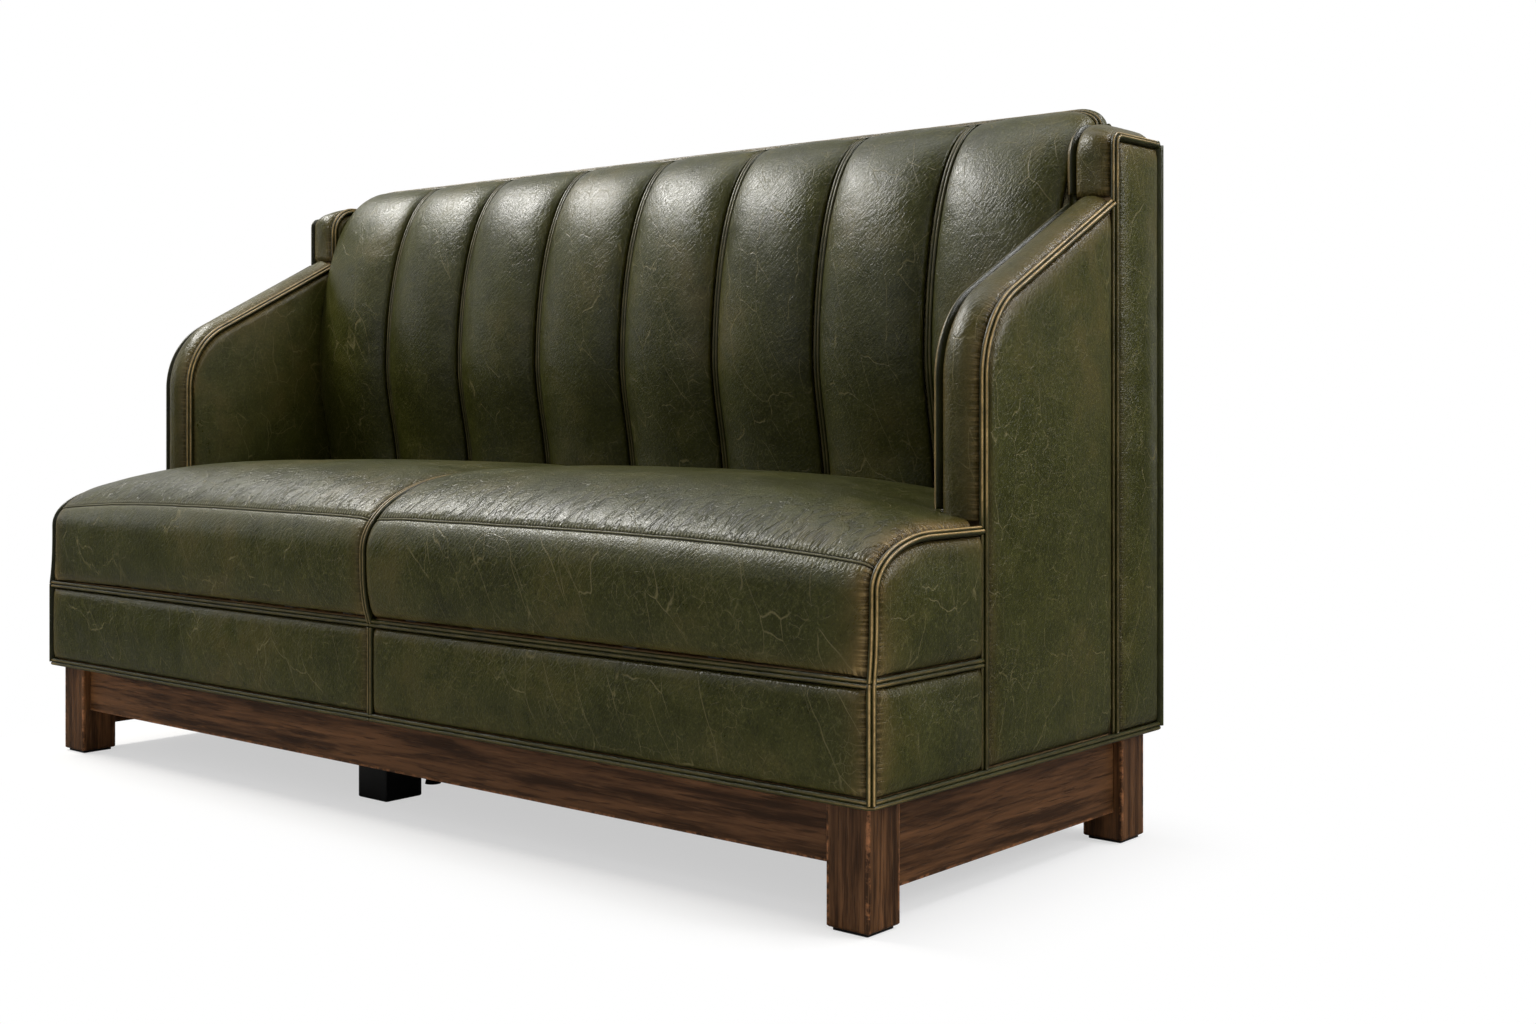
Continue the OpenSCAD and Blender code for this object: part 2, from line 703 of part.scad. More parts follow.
// One of the band's rows falls on the top rail's rear edge
band_rise_share = 3 / band_rows;
module back_top_band() {
    outer = [[band_front, back_h - pad_rim / 2], [band_front, back_h + band_swell],
        [bench_d + pad_crown, back_h + band_swell], [bench_d - pad_crown, band_low]];
    inner = [[band_front, crest_rail_top + gap],
        [rear_frame_y + gap, crest_rail_top + gap], [rear_frame_y + gap, band_low]];
    front = [for (i = [0:band_rows]) let (p = bezier(outer, i / band_rows)) [for (x = crest_xs)
        [x, p[0], max(band_low + over, p[1] - crest_drop(x)) - (i == band_rows ? over : 0)]]];
    back = [for (i = [0:band_rows]) let (t = i / band_rows, p = t < band_rise_share
            ? mix(inner[0], inner[1], t / band_rise_share)
            : mix(inner[1], inner[2], (t - band_rise_share) / (1 - band_rise_share)))
        [for (x = crest_xs) [x, p[0], i == band_rows ? p[1] : max(band_low + over, p[1] - crest_drop(x))]]];
    color(leather) placed() skin(front, back);
}

// An end's outline up its front and back over its top, as [y, z] points
function end_path(inset, z0, top, r, n) = concat(
    [[end_setback + inset, z0]],
    arc([end_setback + r, top - r], r - inset, 180, 90, n),
    [[rear_frame_y, top - inset]]);
strip_low = arm_rear_h + pad_crown + gap;
// Distances from the middle between which the strips of the arms and ends run
strip_x = [half_w - arm_t + edge_in, frame_half - gap];
strip_cols = eased(4);
// Grid of a strip whose columns are given as lines of [y, z] points
function strip_grid(lines) = [for (i = [0:len(lines[0]) - 1]) [for (j = [0:len(strip_cols) - 1])
    [mix(strip_x[0], strip_x[1], strip_cols[j]), lines[j][i][0], lines[j][i][1]]]];
function strip_swell(u) = mix(pad_t - pad_rim, -pad_crown, dome(u));
module back_strip() {
    function edge(inset, u) = end_path(inset, strip_low,
        mix(end_h + end_rise, end_h, u), mix(end_inner_r, end_outer_r, u), ease_steps);
    skin(strip_grid([for (u = strip_cols) edge(strip_swell(u), u)]),
        strip_grid([for (u = strip_cols) edge(pad_t, u)]));
}
module back_strips() { color(leather) placed() pair() back_strip(); }

// A padded panel on a side of the bench: grid is its outline as rows of [y, z] points
module side_pad(grid, inner_x, face_x) {
    sign = face_x > inner_x ? 1 : -1;
    rows = len(grid) - 1;
    cols = len(grid[0]) - 1;
    v = eased(rows);
    u = eased(cols);
    thick = abs(face_x - inner_x);
    front = [for (r = [0:rows]) [for (c = [0:cols])
        [inner_x + sign * mix(thick - pad_t + pad_rim, thick + pad_crown, sqrt(dome(v[r]) * dome(u[c]))),
            grid[r][c][0], grid[r][c][1]]]];
    back = [for (r = [0:rows]) [for (c = [0:cols]) [inner_x, grid[r][c][0], grid[r][c][1]]]];
    skin(front, back);
}
// Rows of points between a lower and an upper line of points
function rows_between(low, high, n) =
    [for (t = eased(n)) [for (i = [0:len(low) - 1]) mix(low[i], high[i], t)]];
function level(y0, y1, z, n) = [for (s = eased(n)) [mix(y0, y1, s), z]];

end_cols = 4;
end_rows = 8;
module back_end_right() {
    y0 = end_setback + welt_in + welt_clear;
    y1 = bench_d - welt_in - welt_clear;
    low = level(y0, y1, low_edge_h, end_cols);
    high = level(y0, y1, end_h - edge_in, end_cols);
    color(leather) placed() side_pad(rows_between(low, high, end_rows), frame_half + gap, half_w);
}
module back_end_left() { on_left() back_end_right(); }

rear_pad_rows = 6;
module rear_cover() {
    x1 = half_w - edge_in;
    us = eased(2 * ease_steps);
    vs = eased(rear_pad_rows);
    z0 = low_edge_h;
    z1 = rear_welt_h - welt_clear;
    y0 = rear_frame_y + gap;
    front = [for (v = vs) [for (u = us)
        [mix(-x1, x1, u), y0 + mix(pad_rim, pad_t + pad_crown, sqrt(dome(u) * dome(v))), mix(z0, z1, v)]]];
    back = [for (v = vs) [for (u = us) [mix(-x1, x1, u), y0, mix(z0, z1, v)]]];
    color(leather) placed() skin(front, back);
}

// Arm padding

boxing_rise = 5;
boxing_low = side_seam_h + boxing_rise;
arm_rows = 8;
module arm_outer_right() {
    low_y0 = arm_setback + welt_in + welt_clear;
    low_y1 = end_setback + welt_in - welt_clear;
    high = arm_path(edge_in, arm_bend_z, low_y1, ease_steps);
    low = [for (i = [0:len(high) - 1]) [mix(low_y0, low_y1, i / (len(high) - 1)), low_edge_h]];
    color(leather) placed() side_pad(rows_between(low, high, arm_rows), frame_half + gap, half_w);
}
module arm_outer_left() { on_left() arm_outer_right(); }

// The inner cover follows the arm's slope and then the back's end, as far as the back board.
// It lies under the end's strip, which has sloped down a little where the post begins.
module arm_inner_right() {
    share = (gable_in - gap - strip_x[0]) / (strip_x[1] - strip_x[0]);
    top = mix(end_h + end_rise, end_h, share);
    r = mix(end_inner_r, end_outer_r, share);
    arm = arm_path(edge_in, arm_bend_z, post_y, ease_steps);
    end = end_path(edge_in + gap, arm_bend_z, top, r, ease_steps);
    high = concat([for (i = [1:len(arm) - 1]) arm[i]], [for (i = [1:len(end) - 2]) end[i]],
        [[foam_back, end[len(end) - 1][1]]]);
    low = [for (p = high) [p[0], seam_h + cushion_h / 2]];
    color(leather) placed() side_pad(rows_between(low, high, arm_rows), gable_in - gap, half_w - arm_t);
}
module arm_inner_left() { on_left() arm_inner_right(); }

module arm_boxing_right() {
    function edge(inset) = arm_path(inset, boxing_low, end_setback - gap, 2 * ease_steps);
    color(leather) placed() skin(strip_grid([for (u = strip_cols) edge(strip_swell(u))]),
        strip_grid([for (u = strip_cols) edge(pad_t)]));
}
module arm_boxing_left() { on_left() arm_boxing_right(); }

// Seat padding

// Crown share of the cushion at a distance x from the middle
function seat_share(x) =
    (1 - pow(abs(x) / half_w, seat_dome)) * (1 - seam_pull_share * exp(-pow(x / seam_valley, 2)));
ear_y = arm_setback - pad_crown - gap;
side_tuck = 5;
rear_dip = 12;
rear_dip_power = 4;
face_steps = 4;
nose_steps = 6;
rear_steps = 4;
// Section of the cushion at crown share s, from its low front over its nose, as [y, z] points
function seat_front(s, inset, z0) = let (
    y0 = mix(side_tuck, -seat_bulge, s) + inset,
    z_top = side_seam_h + seat_crown * s - inset,
    z_nose = seam_h + nose_h,
    reach = mix(nose_side_d, nose_mid_d, s) - inset) concat(
    [for (i = [0:face_steps]) let (t = i / face_steps)
        [mix(inset, y0, 1 - pow(1 - t, 3)), mix(z0, z_nose, t)]],
    [for (i = [1:nose_steps]) let (a = 90 * i / nose_steps)
        [y0 + reach * (1 - cos(a)), z_nose + (z_top - z_nose) * sin(a)]],
    [[ear_y, z_top]]);
function seat_rear(s, inset) = let (z_top = side_seam_h + seat_crown * s - inset)
    [for (i = [1:rear_steps]) let (t = i / rear_steps)
        [mix(ear_y, seat_d, t), z_top - rear_dip * pow(t, rear_dip_power)]];

// One part of the cushion between two distances from the middle
module seat_slice(xs, whole, outer_in, inner_in, outer_z, inner_z) {
    function line(x, inset, z0) = let (s = seat_share(x))
        concat(seat_front(s, inset, z0), whole ? seat_rear(s, inset) : []);
    skin([for (x = xs) [for (p = line(x, outer_in, outer_z)) [x, p[0], p[1]]]],
        [for (x = xs) [for (p = line(x, inner_in, inner_z)) [x, p[0], p[1]]]]);
}
cover_side = half_w - edge_in;
main_steps = 8;
ear_steps = 3;
function main_xs(x0) = [for (s = eased(main_steps)) mix(x0, inner_half, s)];
ear_xs = [for (i = [0:ear_steps]) mix(inner_half, cover_side, i / ear_steps)];
module seat_cover_right() {
    low = seam_h + welt_clear;
    color(leather) placed() {
        seat_slice(main_xs(welt_clear), true, 0, pad_t, low, low);
        seat_slice(ear_xs, false, 0, pad_t, low, low);
    }
}
module seat_cover_left() { on_left() seat_cover_right(); }

// The foam fills the cover down to the deck, in the cover's own columns
seat_foam_clear = 0.9;
module foam_slice(xs, whole) {
    z0 = deck_top + gap;
    inset = pad_t + seat_foam_clear;
    function line(x) = let (s = seat_share(x))
        concat(seat_front(s, inset, z0), whole ? seat_rear(s, inset) : []);
    last = len(line(0)) - 1;
    y1 = whole ? seat_d : ear_y;
    skin([for (x = xs) [for (p = line(x)) [x, p[0], p[1]]]],
        [for (x = xs) [for (i = [0:last]) [x, mix(inset, y1, i / last), z0 - gap]]]);
}
module seat_foam() {
    color(foam) placed() {
        half = main_xs(welt_clear);
        foam_slice(concat([for (i = [main_steps:-1:0]) -half[i]], half), true);
        pair() foam_slice(ear_xs, false);
    }
}

// Side boxing of the cushion, under the side piping
module seat_side_right() {
    y1 = arm_setback + welt_in - welt_clear;
    line = seat_front(0, edge_in, seam_h + welt_clear);
    high = [for (p = line) if (p[1] > seam_h + nose_h - over) [min(p[0], y1), p[1]]];
    top = concat(high, [[y1, high[len(high) - 1][1]]]);
    low = [for (i = [0:len(top) - 1])
        [mix(edge_in + side_tuck, y1, i / (len(top) - 1)), seam_h + welt_clear]];
    color(leather) placed() side_pad(rows_between(low, top, ease_steps), frame_half + gap, half_w);
}
module seat_side_left() { on_left() seat_side_right(); }

apron_low = low_edge_h;
apron_high = seam_h - welt_clear;
module apron_front_right() {
    us = eased(ease_steps);
    front = [for (v = us) [for (u = us) [mix(welt_clear, half_w - edge_in, u),
        pad_t - mix(pad_rim, pad_t + pad_crown, sqrt(dome(u) * dome(v))), mix(apron_low, apron_high, v)]]];
    back = [for (v = us) [for (u = us)
        [mix(welt_clear, half_w - edge_in, u), pad_t, mix(apron_low, apron_high, v)]]];
    color(leather) placed() skin(front, back);
}
module apron_front_left() { on_left() apron_front_right(); }
module apron_side_right() {
    y1 = arm_setback + welt_in - welt_clear;
    color(leather) placed() side_pad(rows_between(level(edge_in, y1, apron_low, ease_steps),
        level(edge_in, y1, apron_high, ease_steps), ease_steps), frame_half + gap, half_w);
}
module apron_side_left() { on_left() apron_side_right(); }

// Piping

welt_x = half_w - welt_in;
welt_corner_r = 7;
function flat_corner(x, y, sx, sy, n) =
    let (c = [x - sx * welt_corner_r, y - sy * welt_corner_r],
        a = sx > 0 ? (sy > 0 ? 0 : -90) : (sy > 0 ? 90 : 180))
    arc(c, welt_corner_r, a, a + 90, n);
function lifted(points, z) = [for (p = points) [p[0], p[1], z]];
module level_cord(points, z) { cord(lifted(points, z), [0, 0, 1]); }
module seat_welts() {
    y1 = arm_setback + welt_in - welt_clear;
    rear = bench_d - welt_in;
    corner_steps = 4;
    middle_s = seat_share(0);
    middle = concat(seat_front(middle_s, welt_in, seam_h + welt_clear), seat_rear(middle_s, welt_in));
    color(piping) placed() {
        // Round the underside of the upholstery, in two halves
        pair() level_cord(concat([[gap, welt_in]], flat_corner(welt_x, welt_in, 1, -1, corner_steps),
            flat_corner(welt_x, rear, 1, 1, corner_steps), [[gap, rear]]), low_welt_h);
        // Round the front and sides between the apron and the cushions
        pair() level_cord(concat([[gap, welt_in]], flat_corner(welt_x, welt_in, 1, -1, corner_steps),
            [[welt_x, y1]]), seam_h);
        pair() cord_yz(welt_x, seat_front(0, welt_in, seam_h + welt_clear));
        pair() cord([[welt_x, welt_in, apron_low], [welt_x, welt_in, apron_high]], [1, 0, 0]);
        cord([[0, welt_in, apron_low], [0, welt_in, apron_high]], [1, 0, 0]);
        cord_yz(0, middle);
    }
}
module arm_welts() {
    n = 8;
    y1 = end_setback + welt_in - welt_clear - gap;
    color(piping) placed() pair() {
        cord_yz(welt_x, arm_path(welt_in, apron_low, y1, n));
        cord_yz(half_w - arm_t + welt_in, arm_path(welt_in, boxing_low + 2 * welt_clear, y1, n));
    }
}
seam_rows = 12;
module back_welts() {
    n = ease_steps;
    seam_top_share = 0.98;
    seam = [for (i = [0:seam_rows]) let (v = seam_top_share * i / seam_rows)
        back_line(v) - back_out(v) * seam_sink];
    color(piping) placed() {
        for (i = [1:channels - 1]) cord_yz(i * pitch - inner_half, seam);
        cord([for (x = crest_xs) [x, crest_welt[0], crest_welt[1] - crest_drop(x)]], [0, 1, 0]);
        level_cord([[-half_w, bench_d - welt_in], [half_w, bench_d - welt_in]], rear_welt_h);
        pair() {
            cord_yz(welt_x, end_path(welt_in, apron_low, end_h, end_outer_r, n));
            cord_yz(half_w - arm_t + welt_in,
                end_path(welt_in, strip_low + welt_clear, end_h + end_rise, end_inner_r, n));
            cord([[welt_x, bench_d - welt_in, apron_low],
                [welt_x, bench_d - welt_in, rear_welt_h - welt_clear]], [1, 0, 0]);
        }
    }
}

leg_front_left();
leg_front_right();
leg_rear_left();
leg_rear_right();
leg_glides();
base_rail_front();
base_rail_rear();
base_rail_left();
base_rail_right();
base_stretcher();
base_corner_blocks();
dowels();
centre_leg();
foot_nut();
foot_stem();
foot_pad();
dust_cover();
seat_rail_front();
seat_rail_rear();
seat_side_rails();
seat_cross_rail();
seat_corner_blocks();
spring_rail();
seat_springs();
spring_clips();
deck_cloth();
bolts();
seat_foam();
seat_cover_left();
seat_cover_right();
seat_side_left();
seat_side_right();
apron_front_left();
apron_front_right();
apron_side_left();
apron_side_right();
seat_welts();
gable_left();
gable_right();
arm_boxing_left();
arm_boxing_right();
arm_inner_left();
arm_inner_right();
arm_outer_left();
arm_outer_right();
arm_welts();
back_post_left();
back_post_right();
back_mid_rail();
back_top_rail();
back_board();
back_foam();
back_channels();
back_top_band();
back_end_left();
back_end_right();
back_strips();
rear_cover();
back_welts();
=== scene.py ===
"""Upholstered banquette bench: leather covers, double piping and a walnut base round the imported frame.

Metres. +X runs to the right as seen from the front, +Y to the rear and +Z up.
Shapes are worked out in bench coordinates, where Y is 0 at the apron's face, and to_row() moves them into the frame's.
"""
import math

import bpy
import numpy as np
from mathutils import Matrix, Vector


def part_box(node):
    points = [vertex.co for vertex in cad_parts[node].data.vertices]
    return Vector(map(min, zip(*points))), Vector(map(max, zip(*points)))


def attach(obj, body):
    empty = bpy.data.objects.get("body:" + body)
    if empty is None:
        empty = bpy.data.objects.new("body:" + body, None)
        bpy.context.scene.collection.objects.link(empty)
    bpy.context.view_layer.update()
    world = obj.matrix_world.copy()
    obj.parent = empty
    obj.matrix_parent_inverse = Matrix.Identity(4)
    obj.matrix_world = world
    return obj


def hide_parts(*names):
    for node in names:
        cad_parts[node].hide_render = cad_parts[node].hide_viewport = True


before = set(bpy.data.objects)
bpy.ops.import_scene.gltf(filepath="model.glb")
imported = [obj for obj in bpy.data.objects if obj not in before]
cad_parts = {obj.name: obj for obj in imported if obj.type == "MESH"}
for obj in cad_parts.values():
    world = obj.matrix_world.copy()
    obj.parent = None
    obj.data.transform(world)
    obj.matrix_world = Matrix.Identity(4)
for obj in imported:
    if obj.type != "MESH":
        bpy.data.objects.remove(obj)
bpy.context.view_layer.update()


def low(node):
    return np.array(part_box(node)[0])


def high(node):
    return np.array(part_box(node)[1])


# Sizes of the covers, as the frame has them
GAP = 0.0003
PAD = 0.012
PAD_CROWN = 0.003
WELT_R = 0.0055
WELT_IN = PAD - WELT_R
WELT_CLEAR = WELT_R + GAP
EDGE_IN = PAD + GAP

# Places read from the frame
FACE = low("seat_rail_front")[1] - EDGE_IN
DEPTH = high("seat_rail_rear")[1] + EDGE_IN - FACE
HALF = high("back_welts")[0]
BASE_H = low("seat_rail_front")[2]
INNER = high("back_top_band")[0]
SEAM_H = high("apron_front_right")[2] + WELT_CLEAR
SIDE_SEAM_H = high("seat_side_right")[2] + EDGE_IN
SEAT_CROWN = high("seat_cover_right")[2] - SIDE_SEAM_H
SEAT_D = high("seat_cover_right")[1] - FACE
SEAT_BULGE = FACE - low("seat_cover_right")[1]
ARM_T = HALF - low("arm_boxing_right")[0] + EDGE_IN
ARM_FRONT = low("arm_boxing_right")[1] + PAD_CROWN - FACE
END_FRONT = low("back_end_right")[1] - WELT_IN - WELT_CLEAR - FACE
END_H = high("back_end_right")[2] + EDGE_IN
CHANNEL_PITCH = 2 * INNER / 8
LOW_WELT_H = BASE_H + WELT_CLEAR
LOW_EDGE_H = LOW_WELT_H + WELT_CLEAR
REAR_WELT_H = END_H - WELT_IN

# The cushion
SEAT_DOME = 5
SEAM_PULL = 0.12
SEAM_VALLEY = 0.045
NOSE_H = 0.097
NOSE_SIDE_D = 0.110
NOSE_MID_D = 0.190
SIDE_TUCK = 0.005
REAR_DIP = 0.012
STITCH_SIDE, STITCH_MID = math.radians(27), math.radians(26)

# The arms and the ends of the back
ARM_SLOPE = math.radians(27.6)
ARM_BEND_R = 0.125
ARM_REAR_H = SIDE_SEAM_H + (END_H - SIDE_SEAM_H) * 0.823
ARM_BEND_Y = ARM_FRONT + ARM_BEND_R
ARM_BEND_Z = ARM_REAR_H - (END_FRONT - ARM_BEND_Y) * math.tan(ARM_SLOPE) - ARM_BEND_R / math.cos(ARM_SLOPE)
BOXING_LOW = SIDE_SEAM_H + 0.005
STRIP_LOW = ARM_REAR_H + PAD_CROWN + GAP
END_RISE = 0.019
END_OUTER_R = 0.016
END_INNER_R = 0.050
POST_Y = END_FRONT + EDGE_IN

# The back
BACK_H = END_H + 0.047
BACK_FOOT = np.array([DEPTH - 0.133, SIDE_SEAM_H + 0.008])
LUMBAR = np.array([DEPTH - 0.159, SIDE_SEAM_H + (BACK_H - SIDE_SEAM_H) * 0.39])
CREST = np.array([DEPTH - 0.039, BACK_H])
LUMBAR_SHARE = 0.35
CHANNEL_SWELL = 0.018
CHANNEL_POWER = 2.3
CHANNEL_T = 0.026
RIM = 0.006
SHOULDER_R = 0.040
SHOULDER_DROP = 0.024
CREST_GRIP = 6
CREST_OVER = 0.0065
CHANNEL_OVER = 0.0035


# Small functions on arrays


def mix(a, b, t):
    return a + (b - a) * t


def unit(v):
    return v / np.maximum(np.linalg.norm(v, axis=-1, keepdims=True), 1e-12)


def smooth(t):
    """A ramp from 0 to 1 that starts and ends level: 3t^2 - 2t^3."""
    t = np.clip(t, 0, 1)
    return t * t * (3 - 2 * t)


def bezier(points, t):
    """Cubic curve with the four given control points."""
    t = np.asarray(t)[..., None]
    a, b, c, d = (np.asarray(p) for p in points)
    return (1 - t) ** 3 * a + 3 * (1 - t) ** 2 * t * b + 3 * (1 - t) * t**2 * c + t**3 * d


def arc(y, z, wide, tall, turn):
    """Points [y, z] of an ellipse round y, z at the given angles, or of a circle if it is as wide as tall."""
    return np.stack([y + wide * np.cos(turn), z + tall * np.sin(turn)], axis=1)


def spaced(length, fine, coarse, margin=0.022):
    """Shares from 0 to 1 of a length, in fine steps near both ends and coarse ones between."""
    ends = np.arange(0, margin, fine)
    middle = np.linspace(margin, length - margin, max(3, round((length - 2 * margin) / coarse) + 1))
    return np.concatenate([ends, middle, (length - ends)[::-1]]) / length


def xyz(x, y, z):
    """Points from three arrays or numbers that broadcast."""
    return np.stack(np.broadcast_arrays(x, y, z), axis=-1)


def resampled(line, shares):
    """Points of a polyline at the given shares of its length."""
    line = np.asarray(line)
    along = np.concatenate([[0], np.cumsum(np.linalg.norm(np.diff(line, axis=0), axis=1))])
    return np.stack([np.interp(shares * along[-1], along, line[:, k]) for k in range(line.shape[1])], axis=-1)


def waves(where, pitch, seed, terms=9):
    """Smooth seeded noise from about -1 to 1 over any array of numbers: a sum of sines of random phase and pitch."""
    rng = np.random.default_rng(seed)
    total = np.zeros_like(np.asarray(where, float))
    for _ in range(terms):
        total += np.sin(where * 2 * np.pi / (pitch * rng.uniform(0.55, 1.9)) + rng.uniform(0, 2 * np.pi))
    return total / math.sqrt(terms)


def spline_weights(count, shares):
    """Cubic B-spline weights that spread the values of an even grid of count points to the given shares."""
    at = np.clip(np.asarray(shares), 0, 1) * (count - 1)
    cell = np.minimum(at.astype(int), count - 2)
    f = at - cell
    parts = [(1 - f) ** 3, 3 * f**3 - 6 * f**2 + 4, -3 * f**3 + 3 * f**2 + 3 * f + 1, f**3]
    weights = np.zeros((len(at), count))
    for step, part in zip((-1, 0, 1, 2), parts):
        np.add.at(weights, (np.arange(len(at)), np.clip(cell + step, 0, count - 1)), part / 6)
    return weights


# Meshes


def to_row(points):
    """A list of points moved from bench coordinates into the frame's."""
    return np.asarray(points, float).reshape(-1, 3) + [0, FACE, 0]


def grid_quads(rows, cols, start=0, flip=False):
    """Corners of the cells of a grid whose points are numbered row by row."""
    a = (np.arange(rows - 1)[:, None] * cols + np.arange(cols - 1)[None, :]).ravel() + start
    quads = np.stack([a, a + 1, a + cols + 1, a + cols], axis=1)
    return quads[:, ::-1] if flip else quads


def new_object(name, data):
    made = bpy.data.objects.new(name, data)
    bpy.context.scene.collection.objects.link(made)
    return made


def tube_quads(rings, sides):
    """Faces of the wall through a number of rings that have the same number of points."""
    a, k = np.arange(rings - 1)[:, None] * sides, np.arange(sides)[None, :]
    after = (k + 1) % sides
    return np.stack([a + k, a + sides + k, a + sides + after, a + after], axis=-1).reshape(-1, 4)


def new_piece(name, points, quads, material, fields=None, body="bench"):
    """A smooth mesh piece from an array of points in the frame's coordinates and one of four-cornered faces."""
    mesh = bpy.data.meshes.new(name)
    mesh.vertices.add(len(points))
    mesh.vertices.foreach_set("co", np.asarray(points, np.float32).ravel())
    mesh.loops.add(quads.size)
    mesh.loops.foreach_set("vertex_index", np.asarray(quads, np.int32).ravel())
    mesh.polygons.add(len(quads))
    mesh.polygons.foreach_set("loop_start", np.arange(0, quads.size, 4, dtype=np.int32))
    mesh.update(calc_edges=True)
    for field, values in (fields or {}).items():
        kind, key = ("FLOAT_VECTOR", "vector") if np.ndim(values) > 1 else ("FLOAT", "value")
        attribute = mesh.attributes.new(field, kind, "POINT")
        attribute.data.foreach_set(key, np.asarray(values, np.float32).ravel())
    mesh.shade_smooth()
    mesh.materials.append(material)
    piece = new_object(name, mesh)
    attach(piece, body)
    return piece


def closed_shell(outer, inner):
    """Points and faces of the solid between two grids: both layers and the four walls, facing outwards."""
    rows, cols = outer.shape[:2]
    count = rows * cols
    a = np.arange(count).reshape(rows, cols)
    rim = np.concatenate([a[0, :-1], a[:-1, -1], a[-1, :0:-1], a[:0:-1, 0]])
    after = np.roll(rim, -1)
    walls = np.stack([rim, rim + count, after + count, after], axis=1)
    faces = np.concatenate([grid_quads(rows, cols), grid_quads(rows, cols, count, True), walls])
    return np.concatenate([outer.reshape(-1, 3), inner.reshape(-1, 3)]), faces


# Shader maths


class Value:
    """A socket that takes + - * / and ** and adds the Math nodes for them."""

    def __init__(self, shader, socket):
        self.shader, self.socket = shader, socket

    def __add__(self, other):
        return self.shader.math("ADD", self, other)

    def __sub__(self, other):
        return self.shader.math("SUBTRACT", self, other)

    def __rsub__(self, other):
        return self.shader.math("SUBTRACT", other, self)

    def __mul__(self, other):
        return self.shader.math("MULTIPLY", self, other)

    def __truediv__(self, other):
        return self.shader.math("DIVIDE", self, other)

    def __pow__(self, other):
        return self.shader.math("POWER", self, other)

    __radd__ = __add__
    __rmul__ = __mul__


class Shader:
    """A node material or world being written, with one method for nodes and short ones for the usual few."""

    def __init__(self, name, owner=None):
        self.material = owner or bpy.data.materials.new(name)
        self.material.use_nodes = True
        self.tree = self.material.node_tree
        self.tree.nodes.clear()

    def node(self, kind, inputs=None, **settings):
        """Adds a node: its settings first, then the values or links of its sockets."""
        node = self.tree.nodes.new(kind)
        for key, value in settings.items():
            setattr(node, key, value)
        for key, value in (inputs or {}).items():
            if isinstance(value, Value):
                self.tree.links.new(value.socket, node.inputs[key])
            else:
                node.inputs[key].default_value = value
        return node

    def out(self, node, key=0):
        return Value(self, node.outputs[key])

    def math(self, operation, a, b=0.0):
        return self.out(self.node("ShaderNodeMath", {0: a, 1: b}, operation=operation))

    def low(self, a, b):
        return self.math("MINIMUM", a, b)

    def high(self, a, b):
        return self.math("MAXIMUM", a, b)

    def vector(self, operation, a, b=(0.0, 0.0, 0.0), key=0):
        return self.out(self.node("ShaderNodeVectorMath", {0: a, 1: b}, operation=operation), key)

    def mix(self, share, a, b):
        return self.out(self.node("ShaderNodeMix", {0: share, 6: a, 7: b}, data_type="RGBA"), 2)

    def step(self, value, start, end, to=(0.0, 1.0)):
        """A smooth ramp between two values."""
        sockets = {0: value, 1: start, 2: end, 3: to[0], 4: to[1]}
        return self.out(self.node("ShaderNodeMapRange", sockets, interpolation_type="SMOOTHSTEP"))

    def place(self, scale=(1, 1, 1)):
        """Object coordinates, stretched by a scale for each axis."""
        coordinates = self.out(self.node("ShaderNodeTexCoord"), "Object")
        return self.out(self.node("ShaderNodeMapping", {"Vector": coordinates, "Scale": scale}))

    def drawn_out(self, toward, length):
        """Object coordinates in which a pattern comes out that many times as long in one direction."""
        coordinates = self.out(self.node("ShaderNodeTexCoord"), "Object")
        turn = Vector(toward).to_track_quat("Z", "Y").to_euler()
        sockets = {"Vector": coordinates, "Rotation": tuple(turn), "Scale": (1, 1, length)}
        return self.out(self.node("ShaderNodeMapping", sockets, vector_type="TEXTURE"))

    def fade(self, distance, reach):
        """1 at a distance of 0, falling exponentially over a reach in metres."""
        return self.math("EXPONENT", distance * (-1 / reach))

    def noise(self, where, scale, detail=2.0, rough=0.5, twist=0.0, kind="3D"):
        key = "W" if kind == "1D" else "Vector"
        sockets = {key: where, "Scale": scale, "Detail": detail, "Roughness": rough, "Distortion": twist}
        return self.out(self.node("ShaderNodeTexNoise", sockets, noise_dimensions=kind))

    def cells(self, where, scale, feature="F1"):
        node = self.node("ShaderNodeTexVoronoi", {"Vector": where, "Scale": scale}, feature=feature)
        return self.out(node, "Distance")

    def field(self, name):
        return self.out(self.node("ShaderNodeAttribute", attribute_name=name), "Fac")

    def fields(self, name):
        """The three numbers of a vector attribute."""
        vector = self.out(self.node("ShaderNodeAttribute", attribute_name=name), "Vector")
        split = self.node("ShaderNodeSeparateXYZ", {0: vector})
        return [self.out(split, k) for k in range(3)]

    def finish(self, colour, rough, height, depth, specular=0.5, metallic=0.0):
        """The surface of a material, with a bump from a height of 0 to 1 that is depth metres deep."""
        bump = self.node("ShaderNodeBump", {"Strength": 1.0, "Distance": depth, "Height": height})
        surface = self.node("ShaderNodeBsdfPrincipled", {
            "Base Color": colour, "Roughness": rough, "Normal": self.out(bump), "Specular IOR Level": specular,
            "Metallic": metallic,
        })
        self.join(surface, self.node("ShaderNodeOutputMaterial"), 0)
        return self.material

    def join(self, node, other, key):
        self.tree.links.new(node.outputs[0], other.inputs[key])


def grey(level):
    return (level, level, level, 1.0)


# Finishes

